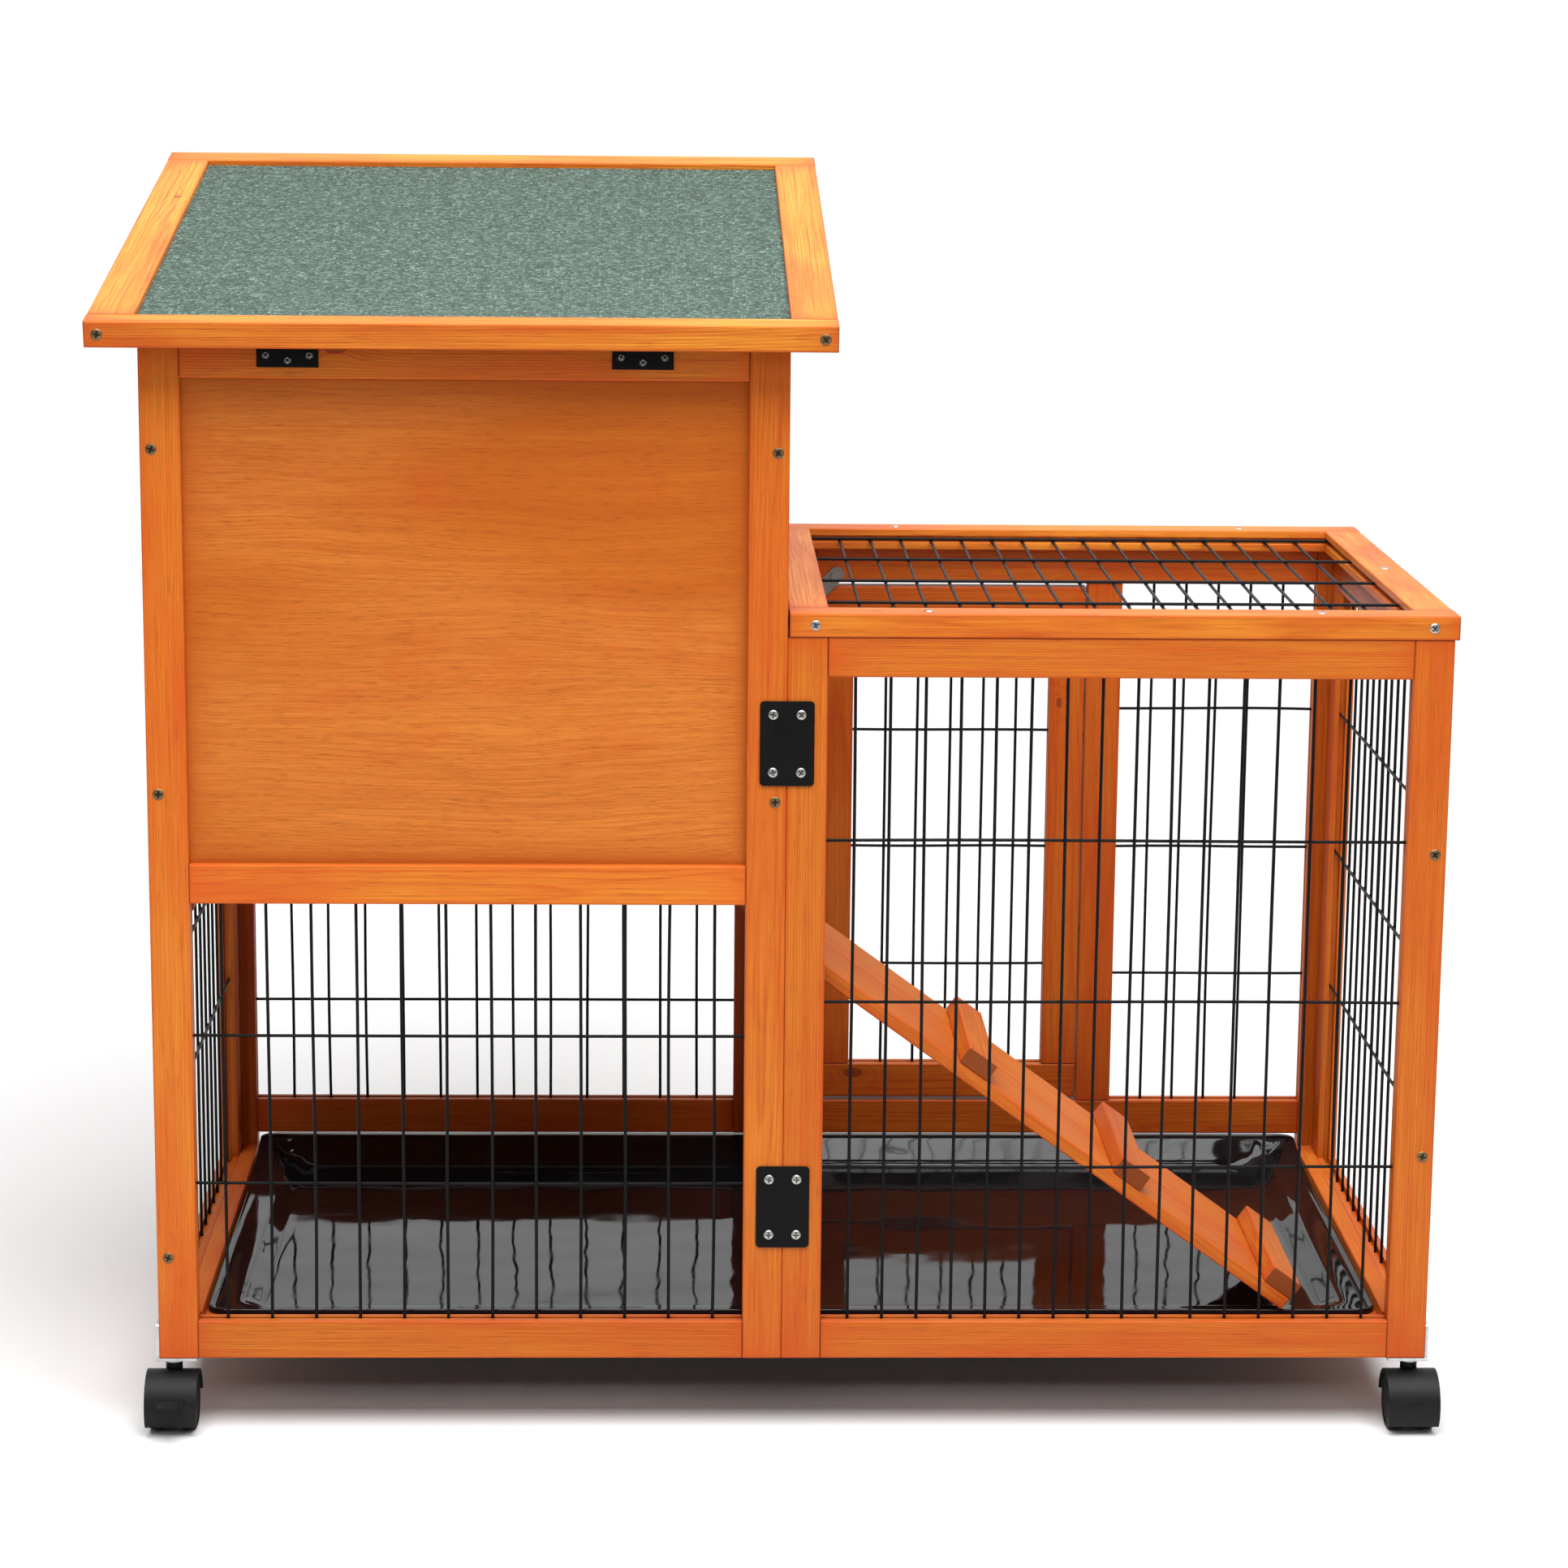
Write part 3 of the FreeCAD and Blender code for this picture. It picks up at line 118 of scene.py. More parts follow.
# ---- shader helper ----
class Shader:
    """A material and short ways of adding nodes to it."""

    def __init__(self, name):
        self.material = bpy.data.materials.new(name)
        self.material.use_nodes = True
        self.tree = self.material.node_tree
        self.tree.nodes.clear()
        self.bsdf = self.node("ShaderNodeBsdfPrincipled")
        out = self.node("ShaderNodeOutputMaterial")
        self.link(self.bsdf.outputs[0], out.inputs[0])

    def node(self, kind, **settings):
        made = self.tree.nodes.new(kind)
        for key, value in settings.items():
            setattr(made, key, value)
        return made

    def link(self, source, target):
        self.tree.links.new(source, target)

    def feed(self, value, target):
        """Set a socket to a number or colour, or link it to an output."""
        if isinstance(value, bpy.types.NodeSocket):
            self.link(value, target)
        elif isinstance(value, tuple) and len(value) == 3 and target.type == "RGBA":
            target.default_value = (*value, 1.0)
        else:
            target.default_value = value

    def attribute(self, name):
        return self.node("ShaderNodeAttribute", attribute_name=name)

    def position(self):
        return self.node("ShaderNodeTexCoord").outputs["Object"]

    def math(self, operation, a, b=0.0, clamp=False):
        made = self.node("ShaderNodeMath", operation=operation, use_clamp=clamp)
        self.feed(a, made.inputs[0])
        self.feed(b, made.inputs[1])
        return made.outputs[0]

    def add(self, a, b):
        return self.math("ADD", a, b)

    def minus(self, a, b):
        return self.math("SUBTRACT", a, b)

    def times(self, a, b):
        return self.math("MULTIPLY", a, b)

    def over(self, a, b):
        return self.math("DIVIDE", a, b)

    def swing(self, noise, size):
        """A noise turned into a number that swings round zero."""
        return self.times(self.minus(noise, 0.5), size)

    def vector(self, operation, a, b=(0.0, 0.0, 0.0)):
        """Vector maths; the output is a number for LENGTH and a vector for the rest."""
        made = self.node("ShaderNodeVectorMath", operation=operation)
        self.feed(a, made.inputs[0])
        self.feed(b, made.inputs[1])
        return made.outputs[1] if operation == "LENGTH" else made.outputs[0]

    def split(self, vector):
        made = self.node("ShaderNodeSeparateXYZ")
        self.link(vector, made.inputs[0])
        return made.outputs[0], made.outputs[1], made.outputs[2]

    def join(self, x, y, z):
        made = self.node("ShaderNodeCombineXYZ")
        for value, target in zip((x, y, z), made.inputs):
            self.feed(value, target)
        return made.outputs[0]

    def noise(self, vector, scale, detail=3.0, roughness=0.5):
        made = self.node("ShaderNodeTexNoise")
        self.link(vector, made.inputs["Vector"])
        made.inputs["Scale"].default_value = scale
        made.inputs["Detail"].default_value = detail
        made.inputs["Roughness"].default_value = roughness
        return made.outputs[0]

    def stretched(self, vector, scales, detail=3.0, roughness=0.5):
        """Noise with a scale of its own along each axis."""
        return self.noise(self.vector("MULTIPLY", vector, scales), 1.0, detail, roughness)

    def cells(self, vector, scale):
        made = self.node("ShaderNodeTexVoronoi", feature="F1")
        self.link(vector, made.inputs["Vector"])
        made.inputs["Scale"].default_value = scale
        return made

    def ramp(self, value, *stops):
        """Map a number onto colours or greys at given places."""
        made = self.node("ShaderNodeValToRGB")
        self.link(value, made.inputs[0])
        elements = made.color_ramp.elements
        while len(elements) < len(stops):
            elements.new(1.0)
        for element, (place, colour) in zip(elements, stops):
            element.position = place
            if not isinstance(colour, tuple):
                colour = (colour,) * 3
            element.color = (*colour, 1.0)
        return made.outputs[0]

    def mix(self, factor, a, b, blend="MIX"):
        made = self.node("ShaderNodeMix", data_type="RGBA", blend_type=blend)
        self.feed(factor, made.inputs[0])
        self.feed(a, made.inputs[6])
        self.feed(b, made.inputs[7])
        return made.outputs[2]

    def bump(self, height, distance):
        made = self.node("ShaderNodeBump")
        self.link(height, made.inputs["Height"])
        made.inputs["Distance"].default_value = distance
        made.inputs["Strength"].default_value = 1.0
        self.link(made.outputs[0], self.bsdf.inputs["Normal"])

    def set(self, **values):
        for key, value in values.items():
            self.feed(value, self.bsdf.inputs[key.replace("_", " ")])


# ---- wood, metres ----
# noises: scales along, across and through the member, detail and roughness
SWAY_NOISE = (2.6, 16.0, 16.0), 3.0
RIPPLE_NOISE = (14.0, 120.0, 120.0), 2.0
FIBRE_NOISE = (9.0, 900.0, 900.0), 4.0, 0.65
STREAK_NOISE = (4.0, 260.0, 260.0), 3.0, 0.6
BLOTCH_NOISE = (5.0, 22.0, 22.0), 3.0, 0.55
PORE_NOISE = (40.0, 1500.0, 1500.0), 2.0
VENEER_BEND_NOISE = (3.2, 9.0, 9.0), 3.0
VENEER_PORE_NOISE = (95.0, 1700.0, 1700.0), 2.0
VENEER_SHEET_NOISE = (3.0, 6.0, 6.0), 2.0, 0.45
VENEER_SOAK_NOISE = (12.0, 20.0, 20.0), 4.0, 0.6
RING_WIDTH = 0.0019
RING_SHADE = (0.0, 0.35), (0.12, 0.02), (0.6, 0.2), (0.9, 1.0), (1.0, 0.4)
SWAY, RIPPLE = 0.014, 0.0011
KNOT_STRETCH = 2.0
KNOT_LEAST = 0.0001
SWIRL_FALL, SWIRL_SIZE = -0.16, 1.6
WORN_WIDTH = 0.003
SOAK_LENGTH, SOAK_SWING = 0.03, 0.02
JOINT_WIDTH = 0.0012
VENEER_RIM = 0.03
WOOD_BUMP, VENEER_BUMP = 0.00022, 0.00015


class Member:
    """What every timber member carries in its attributes, as outputs in one material."""

    def __init__(self, s):
        self.along, self.across, self.depth = s.split(s.attribute("grain").outputs["Vector"])
        self.half = s.split(s.attribute("half").outputs["Vector"])
        self.pith = s.split(s.attribute("pith").outputs["Vector"])
        self.knot = s.split(s.attribute("knot").outputs["Vector"])
        # traits: a random seed, a random tone, and the share of painted shade (partly a deeper stain)
        # on inner faces
        self.seed, self.tone, self.inside = s.split(s.attribute("traits").outputs["Vector"])
        self.end_face = s.attribute("end").outputs["Fac"]
        place = s.join(self.along, self.across, self.depth)
        self.shifted = s.vector("ADD", place, s.join(self.seed, self.seed, self.seed))


def ring_radius(s, member):
    """Distance from the pith, which wanders along the member and sways a little."""
    sway = s.stretched(member.shifted, *SWAY_NOISE)
    ripple = s.stretched(member.shifted, *RIPPLE_NOISE)
    pith_across = s.add(member.pith[0], s.times(member.along, member.pith[2]))
    from_pith = s.minus(member.across, pith_across)
    from_core = s.minus(member.depth, member.pith[1])
    radius = s.vector("LENGTH", s.join(from_pith, from_core, 0.0))
    return s.add(s.add(radius, s.swing(sway, SWAY)), s.swing(ripple, RIPPLE))


def knot_reach(s, member):
    """Distance from the knot's middle, in radii of the knot."""
    along = s.over(s.minus(member.along, member.knot[0]), KNOT_STRETCH)
    across = s.minus(member.across, member.knot[1])
    distance = s.vector("LENGTH", s.join(along, across, 0.0))
    return s.over(distance, s.math("MAXIMUM", member.knot[2], KNOT_LEAST))


def ring_shade(s, member, reach):
    """Growth rings from pale early wood to dark late wood, pushed aside by the knot."""
    swirl = s.math("EXPONENT", s.times(s.times(reach, reach), SWIRL_FALL))
    push = s.times(swirl, s.times(member.knot[2], SWIRL_SIZE))
    radius = s.add(ring_radius(s, member), push)
    return s.ramp(s.math("FRACT", s.over(radius, RING_WIDTH)), *RING_SHADE)


def grain_colour(s, light, ring, streak, blotch, fibre, pore):
    """The stain taken up by rings, patches, fibres, streaks and pores."""
    figure = s.times(ring, s.ramp(streak, (0.35, 0.25), (0.68, 0.95)))
    colour = s.mix(figure, light, PINE_LATE)
    colour = s.mix(s.ramp(blotch, (0.45, 0.0), (0.72, 0.8)), colour, PINE_RED)
    colour = s.mix(s.ramp(fibre, (0.38, 0.0), (0.66, 0.6)), colour, PINE_LATE)
    colour = s.mix(s.ramp(streak, (0.52, 0.0), (0.7, 0.45)), colour, PINE_RED)
    return s.mix(s.ramp(pore, (0.6, 0.0), (0.72, 0.45)), colour, PINE_DARK)


def worn_edges(s, member, colour, blotch):
    """A deeper red along the long edges, with an uneven border."""
    edge_across = s.minus(member.half[1], s.math("ABSOLUTE", member.across))
    edge_depth = s.minus(member.half[2], s.math("ABSOLUTE", member.depth))
    from_edge = s.math("MAXIMUM", edge_across, edge_depth)
    worn = s.over(s.add(from_edge, s.swing(blotch, WORN_WIDTH)), WORN_WIDTH)
    return s.mix(s.ramp(worn, (0.0, 0.55), (0.45, 0.2), (1.0, 0.0)), colour, PINE_RED)


def soaked_ends(s, member, colour, ring, streak):
    """Stain soaked in near the ends, dark end grain, and a thin dark line at the joint."""
    from_end = s.minus(member.half[0], s.math("ABSOLUTE", member.along))
    soak = s.over(s.add(from_end, s.swing(streak, SOAK_SWING)), SOAK_LENGTH)
    colour = s.mix(s.ramp(soak, (0.0, 0.6), (0.35, 0.25), (1.0, 0.0)), colour, PINE_RED)
    end_colour = s.mix(ring, END_GRAIN, tuple(c * 0.45 for c in END_GRAIN))
    colour = s.mix(s.times(member.end_face, 0.85), colour, end_colour)
    joint = s.ramp(s.over(from_end, JOINT_WIDTH), (0.0, 0.8), (0.6, 0.35), (1.0, 0.0))
    return s.mix(s.times(joint, s.minus(1.0, member.end_face)), colour, PINE_DARK)


def timber_material(name, light, rough):
    """Stained softwood: growth rings round a pith, fibres, knots, dark ends and worn edges, with
    painted shade on inner faces and undersides.
    """
    s = Shader(name)
    member = Member(s)
    reach = knot_reach(s, member)
    ring = ring_shade(s, member, reach)
    fibre = s.stretched(member.shifted, *FIBRE_NOISE)
    streak = s.stretched(member.shifted, *STREAK_NOISE)
    blotch = s.stretched(member.shifted, *BLOTCH_NOISE)
    pore = s.stretched(member.shifted, *PORE_NOISE)
    colour = grain_colour(s, light, ring, streak, blotch, fibre, pore)
    knot_edge = s.ramp(reach, (0.0, 0.9), (0.75, 0.7), (0.95, 1.0), (1.15, 0.0))
    colour = s.mix(s.times(knot_edge, 0.8), colour, PINE_DARK)
    colour = worn_edges(s, member, colour, blotch)
    colour = soaked_ends(s, member, colour, ring, streak)
    deep_tone = s.math("POWER", member.tone, 1.5)
    colour = s.mix(1.0, colour, s.join(member.tone, deep_tone, deep_tone), "MULTIPLY")
    # painted shade, partly a deeper stain, on faces turned inwards or downwards
    colour = s.mix(member.inside, colour, s.mix(1.0, colour, INNER_SHADE_AND_STAIN, "MULTIPLY"))
    face_rough = s.add(s.times(fibre, 0.22), rough)
    end_rough = s.times(member.end_face, 0.3)
    s.set(Base_Color=colour, Roughness=s.math("ADD", face_rough, end_rough, clamp=True))
    s.set(IOR=1.47, Specular_IOR_Level=0.15)
    height = s.add(s.times(ring, 0.35), s.times(fibre, 0.5))
    s.bump(s.minus(height, s.times(pore, 0.3)), WOOD_BUMP)
    return s.material


def plywood_material():
    """Rotary-cut veneer: broad figure, short dark pores, patches of tone and a thin stain, with painted
    shade on inner faces.
    """
    s = Shader("plywood_veneer")
    member = Member(s)
    along, seed = member.along, member.seed
    bend = s.stretched(member.shifted, *VENEER_BEND_NOISE)
    wave = s.add(member.across, s.swing(bend, 0.04))
    figure = s.noise(s.join(s.times(along, 2.0), s.times(wave, 55.0), seed), 1.0, 4.0, 0.6)
    fine = s.noise(s.join(s.times(along, 16.0), s.times(wave, 900.0), seed), 1.0, 3.0, 0.6)
    pores = s.stretched(member.shifted, *VENEER_PORE_NOISE)
    sheet = s.stretched(member.shifted, *VENEER_SHEET_NOISE)
    soak = s.stretched(member.shifted, *VENEER_SOAK_NOISE)
    colour = s.mix(s.ramp(figure, (0.3, 0.0), (0.72, 0.75)), PLY, PLY_DARK)
    colour = s.mix(s.ramp(sheet, (0.42, 0.35), (0.6, 0.0)), colour, PLY_PALE)
    colour = s.mix(s.ramp(soak, (0.55, 0.0), (0.8, 0.5)), colour, PINE_RED)
    colour = s.mix(s.ramp(fine, (0.38, 0.0), (0.66, 0.55)), colour, PLY_DARK)
    colour = s.mix(s.ramp(pores, (0.56, 0.0), (0.7, 0.42)), colour, PINE_DARK)
    edge_along = s.minus(member.half[0], s.math("ABSOLUTE", along))
    edge_across = s.minus(member.half[1], s.math("ABSOLUTE", member.across))
    rim = s.over(s.math("MINIMUM", edge_along, edge_across), VENEER_RIM)
    colour = s.mix(s.ramp(rim, (0.15, 0.75), (0.5, 0.25), (1.0, 0.0)), colour, PLY_DARK)
    colour = s.mix(1.0, colour, s.join(member.tone, member.tone, member.tone), "MULTIPLY")
    # painted shade, partly a deeper stain, on faces turned inwards
    colour = s.mix(member.inside, colour, s.mix(1.0, colour, INNER_SHADE_AND_STAIN, "MULTIPLY"))
    s.set(Base_Color=colour, Roughness=s.add(s.times(fine, 0.2), 0.42))
    s.set(IOR=1.46, Specular_IOR_Level=0.14)
    s.bump(s.minus(s.times(fine, 0.5), pores), VENEER_BUMP)
    return s.material


# ---- other materials ----
# bump distances, metres
FELT_BUMP = 0.0009
COAT_BUMP = 0.00012
METAL_BUMP = 0.00008
TRAY_BUMP = 0.0014
MOULDED_BUMP = 0.0001
# granules per metre
STONE_SCALE, SMALL_STONE_SCALE = 620.0, 1250.0


def felt_material():
    """Mineral roofing felt: millimetre slate granules of several greens over dark bitumen."""
    s = Shader("mineral_felt")
    place = s.position()
    stones = s.cells(s.vector("MULTIPLY", place, (0.75, 1.0, 1.0)), STONE_SCALE)
    small = s.cells(place, SMALL_STONE_SCALE)
    grey = s.split(stones.outputs["Color"])[0]
    dark, mid, light, pale = FELT_STONES
    colour = s.ramp(grey, (0.0, dark), (0.3, mid), (0.65, light), (1.0, pale))
    patch = s.noise(place, 9.0, 4.0, 0.6)
    clump = s.noise(place, 160.0, 3.0, 0.6)
    colour = s.mix(s.ramp(clump, (0.35, 0.55), (0.6, 0.0)), colour, dark)
    colour = s.mix(s.ramp(patch, (0.3, 0.0), (0.8, 0.3)), colour, FELT_PATCH)
    gap = s.ramp(stones.outputs["Distance"], (0.35, 0.0), (0.75, 0.75))
    s.set(Base_Color=s.mix(gap, colour, dark), Roughness=s.add(s.times(grey, 0.25), 0.65))
    s.set(IOR=1.5, Specular_IOR_Level=0.4)
    height = s.minus(grey, s.times(stones.outputs["Distance"], 1.5))
    s.bump(s.minus(height, s.times(small.outputs["Distance"], 0.4)), FELT_BUMP)
    return s.material


def wire_material():
    """Black epoxy-coated steel wire with small runs and rubbed places."""
    s = Shader("coated_wire")
    place = s.position()
    runs = s.noise(place, 90.0, 3.0)
    grit = s.noise(place, 1400.0, 2.0)
    rubbed = s.ramp(s.noise(place, 300.0, 4.0, 0.7), (0.66, 0.0), (0.8, 0.5))
    s.set(Base_Color=s.mix(rubbed, s.mix(runs, BLACK_PAINT, BLACK_PAINT_CLOUD), WIRE_RUBBED))
    s.set(Roughness=s.add(s.times(runs, 0.25), 0.3), Specular_IOR_Level=0.1)
    s.bump(s.add(runs, s.times(grit, 0.3)), COAT_BUMP)
    return s.material


def powder_coat_material():
    """Satin black powder coat with orange peel and a few fine scratches."""
    s = Shader("powder_coat")
    place = s.position()
    peel = s.noise(place, 900.0, 2.0)
    cloud = s.noise(place, 40.0, 4.0, 0.6)
    lines = s.stretched(place, (300.0, 300.0, 16.0), 2.0)
    scratch = s.ramp(lines, (0.71, 0.0), (0.76, 0.6))
    colour = s.mix(cloud, BLACK_PAINT, BLACK_PAINT_CLOUD)
    s.set(Base_Color=s.mix(scratch, colour, PAINT_SCRATCH))
    s.set(Roughness=s.add(s.times(cloud, 0.2), 0.42), Specular_IOR_Level=0.08)
    s.bump(peel, COAT_BUMP)
    return s.material


def metal_material(name, colours, rough, blotch=0.5):
    """Plated steel: cloudy plating, small stains, brushed lines, and painted shade darkening the screw
    recesses.
    """
    base, stain = colours
    s = Shader(name)
    place = s.position()
    cloud = s.noise(place, 120.0, 4.0, 0.65)
    speck = s.noise(place, 700.0, 3.0, 0.7)
    brush = s.stretched(place, (1800.0, 1800.0, 120.0), 2.0)
    colour = s.mix(s.ramp(cloud, (0.35, 0.0), (0.75, blotch)), base, stain)
    colour = s.mix(s.ramp(speck, (0.62, 0.0), (0.8, 0.5)), colour, stain)
    # painted shade: the cross and star recesses of the screw heads darkened almost to black
    recess = s.attribute("recess").outputs["Fac"]
    colour = s.mix(s.times(recess, 0.85), colour, tuple(c * 0.15 for c in stain))
    s.set(Base_Color=colour, Metallic=1.0, Roughness=s.add(s.times(cloud, 0.25), rough))
    s.bump(s.add(brush, s.times(speck, 0.5)), METAL_BUMP)
    return s.material


def tray_material():
    """Glossy vacuum-formed sheet: black, slightly wavy, with dust and faint wipe marks."""
    s = Shader("tray_gloss")
    place = s.position()
    slow = s.stretched(place, (9.0, 14.0, 9.0), 1.0, 0.4)
    quick = s.stretched(place, (40.0, 24.0, 40.0), 1.0, 0.4)
    peel = s.noise(place, 700.0, 2.0)
    wipe = s.stretched(place, (8.0, 45.0, 8.0), 4.0, 0.65)
    dust = s.ramp(s.noise(place, 1500.0, 3.0, 0.7), (0.7, 0.0), (0.82, 0.25))
    colour = s.mix(wipe, PLASTIC_BLACK, PLASTIC_WIPED)
    s.set(Base_Color=s.mix(dust, colour, TRAY_DUST))
    s.set(Roughness=s.ramp(wipe, (0.4, 0.03), (0.8, 0.1)), IOR=1.5, Specular_IOR_Level=0.25)
    height = s.add(slow, s.times(quick, 0.16))
    s.bump(s.add(height, s.times(peel, 0.002)), TRAY_BUMP)
    return s.material


def moulded_material(name, base, rough):
    """Moulded black plastic with a fine spark texture and dusty scuffs."""
    s = Shader(name)
    place = s.position()
    spark = s.noise(place, 1600.0, 2.0, 0.6)
    scuff = s.noise(place, 130.0, 5.0, 0.7)
    colour = s.mix(s.ramp(scuff, (0.5, 0.0), (0.85, 0.6)), base, CASTER_DUST)
    s.set(Base_Color=colour, Roughness=s.add(s.times(scuff, 0.25), rough))
    s.set(Specular_IOR_Level=0.18)
    s.bump(spark, MOULDED_BUMP)
    return s.material


# ---- mesh helpers ----
SAME_CORNER = 2e-6
FLAT_ANGLE = 0.01
SHARP_EDGE = math.radians(50)


def mesh_object(name, bm, material, body, replaced=()):
    """Make a piece from a bmesh, give it its material, and let it ride on its body."""
    mesh = bpy.data.meshes.new(name)
    bm.to_mesh(mesh)
    bm.free()
    piece = bpy.data.objects.new(name, mesh)
    bpy.context.scene.collection.objects.link(piece)
    mesh.materials.append(material)
    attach(piece, body)
    if replaced:
        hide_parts(*replaced)
    return piece


def cad_bmesh(node, flatten=True):
    """The CAD node's mesh, welded solid by solid, with its flat faces joined if asked."""
    bm = bmesh.new()
    bm.from_mesh(NODES[node].data)
    bmesh.ops.remove_doubles(bm, verts=bm.verts, dist=SAME_CORNER)
    for group in islands(bm):
        bmesh.ops.split(bm, geom=group)
    if flatten:
        bmesh.ops.dissolve_limit(
            bm, angle_limit=FLAT_ANGLE, verts=bm.verts, edges=bm.edges, delimit={"NORMAL"}
        )
    return bm


def islands(bm):
    """Lists of the faces of each solid; solids that touch share edges with more than two faces."""
    unseen = set(bm.faces)
    groups = []
    for start in bm.faces:
        if start not in unseen:
            continue
        unseen.discard(start)
        group, queue = [], [start]
        while queue:
            face = queue.pop()
            group.append(face)
            for edge in face.edges:
                if len(edge.link_faces) > 2:
                    continue
                for other in edge.link_faces:
                    if other in unseen:
                        unseen.discard(other)
                        queue.append(other)
        groups.append(group)
    return groups


def bounds_of(points):
    """The low and high corners of the box round some points."""
    return Vector(map(min, zip(*points))), Vector(map(max, zip(*points)))


def island_box(group):
    return bounds_of([vert.co for face in group for vert in face.verts])


def island_boxes(node):
    """The low and high corners of each solid of a CAD node."""
    source = cad_bmesh(node)
    boxes = [island_box(group) for group in islands(source)]
    source.free()
    return boxes


def soften(bm, width):
    """Bevel every sharp edge."""
    sharp = [e for e in bm.edges if len(e.link_faces) == 2 and e.calc_face_angle(0.0) > SHARP_EDGE]
    bmesh.ops.bevel(
        bm, geom=sharp, offset=width, segments=2, profile=0.5, affect="EDGES", clamp_overlap=True
    )


def shade(piece, degrees):
    """Smooth shading up to an angle."""
    piece.data.shade_smooth()
    piece.data.set_sharp_from_angle(angle=math.radians(degrees))


def smooth(piece):
    """Smooth shading of softened edges, with flat faces kept flat."""
    shade(piece, 35.0)
    weights = piece.modifiers.new("flat_faces", "WEIGHTED_NORMAL")
    weights.keep_sharp = True
    weights.weight = 90


def loft(bm, rings, cap_start=True):
    """Skin between closed rings that all have the same number of points."""
    made = [[bm.verts.new(point) for point in ring] for ring in rings]
    count = len(made[0])
    for a, b in zip(made, made[1:]):
        for k in range(count):
            bm.faces.new((a[k], a[(k + 1) % count], b[(k + 1) % count], b[k]))
    if cap_start:
        bm.faces.new(made[0][::-1])
    bm.faces.new(made[-1])


# ---- timber ----
OUTWARD = {
    "house_near": -Y_AXIS, "run_near": -Y_AXIS, "house_far": Y_AXIS, "run_far": Y_AXIS,
    "house_door": Y_AXIS, "run_door": Y_AXIS, "house_left": -X_AXIS, "run_right": X_AXIS,
    "roof": Z_AXIS, "lid": Z_AXIS, "ramp": Z_AXIS, "house_right": Vector((0, 0, 0)),
    "floor": Z_AXIS, "tray": Z_AXIS, "house_floor": Z_AXIS,
}
MEMBER_LAYERS = ("grain", "half", "pith", "knot")
STRAIGHT_GRAIN = 0.62


def outward_of(node):
    """The direction that a wall's outer, well-lit side faces."""
    known = [key for key in OUTWARD if node.startswith(key)]
    return OUTWARD[max(known, key=len)]


def member_axes(group, along_hint=None):
    """Axes of one member: along its longest edge, across it, and through its widest face."""
    widest = max(group, key=lambda face: face.calc_area())
    depth = widest.normal.normalized()
    if along_hint is not None:
        along = (along_hint - depth * along_hint.dot(depth)).normalized()
        return along, depth.cross(along), depth
    edge = max((e for f in group for e in f.edges), key=lambda e: e.calc_length())
    along = (edge.verts[1].co - edge.verts[0].co).normalized()
    if abs(along.dot(depth)) > 0.5:
        depth = along.orthogonal().normalized()
    depth = (depth - along * depth.dot(along)).normalized()
    return along, depth.cross(along), depth


def choose_pith(rng):
    """Where the pith runs: off to one side for straight grain, or close by for a bold figure."""
    if rng.random() < STRAIGHT_GRAIN:
        return Vector((rng.choice((-1, 1)) * rng.uniform(0.045, 0.09), rng.uniform(-0.02, 0.02), 0))
    return Vector((rng.uniform(-0.012, 0.012), -rng.uniform(0.012, 0.04), rng.uniform(-0.03, 0.03)))


def describe_member(group, axes, layers, rng, outward, knots):
    """Write one member's coordinates, character and share of painted inner shade to its corners and
    faces.
    """
    corners = {vert for face in group for vert in face.verts}
    local = {v: Vector([v.co.dot(axis) for axis in axes]) for v in corners}
    low, high = bounds_of(list(local.values()))
    middle, half = (low + high) / 2, (high - low) / 2
    pith = choose_pith(rng)
    knot = Vector((rng.uniform(-0.8, 0.8) * half.x, rng.uniform(-0.6, 0.6) * half.y, 0.0))
    if rng.random() < knots:
        knot.z = rng.uniform(0.002, 0.0045)
    seed = rng.uniform(0.0, 20.0)
    tone = rng.uniform(0.9, 1.08)
    grain_layer, half_layer, pith_layer, knot_layer, traits_layer, end_layer = layers
    for vert in corners:
        vert[grain_layer] = local[vert] - middle
        vert[half_layer] = half
        vert[pith_layer] = pith
        vert[knot_layer] = knot
    for face in group:
        face[end_layer] = 1.0 if abs(face.normal.dot(axes[0])) > 0.9 else 0.0
        # share of painted shade, partly a deeper stain: full on faces turned away from the outer, lit
        # side or downwards, a part on side faces
        facing = face.normal.dot(outward)
        inside = max(0.0, -facing) if outward.z else min(1.0, max(0.0, 0.35 - 0.65 * facing))
        face[traits_layer] = Vector((seed, tone, inside))


def timber(node, material, edge=0.5, along_hint=None, knots=0.25):
    """A frame's members, each with softened ends and its own grain; the edge is in mm."""
    bm = cad_bmesh(node)
    if edge:
        soften(bm, edge * MM)
    bm.normal_update()
    layers = [bm.verts.layers.float_vector.new(name) for name in MEMBER_LAYERS]
    layers.append(bm.faces.layers.float_vector.new("traits"))
    layers.append(bm.faces.layers.float.new("end"))
    for index, group in enumerate(islands(bm)):
        rng = random.Random(f"{node} {index}")
        axes = member_axes(group, along_hint)
        describe_member(group, axes, layers, rng, outward_of(node), knots)
    smooth(mesh_object(node + "_timber", bm, material, BODY_OF[node], (node,)))


# ---- wires ----
WIRE_BOW, WIRE_TWIST = 0.7 * MM, 0.35 * MM
WIRE_STEPS, WIRE_SIDES = 14, 10
WELD_SIZE = 1.25


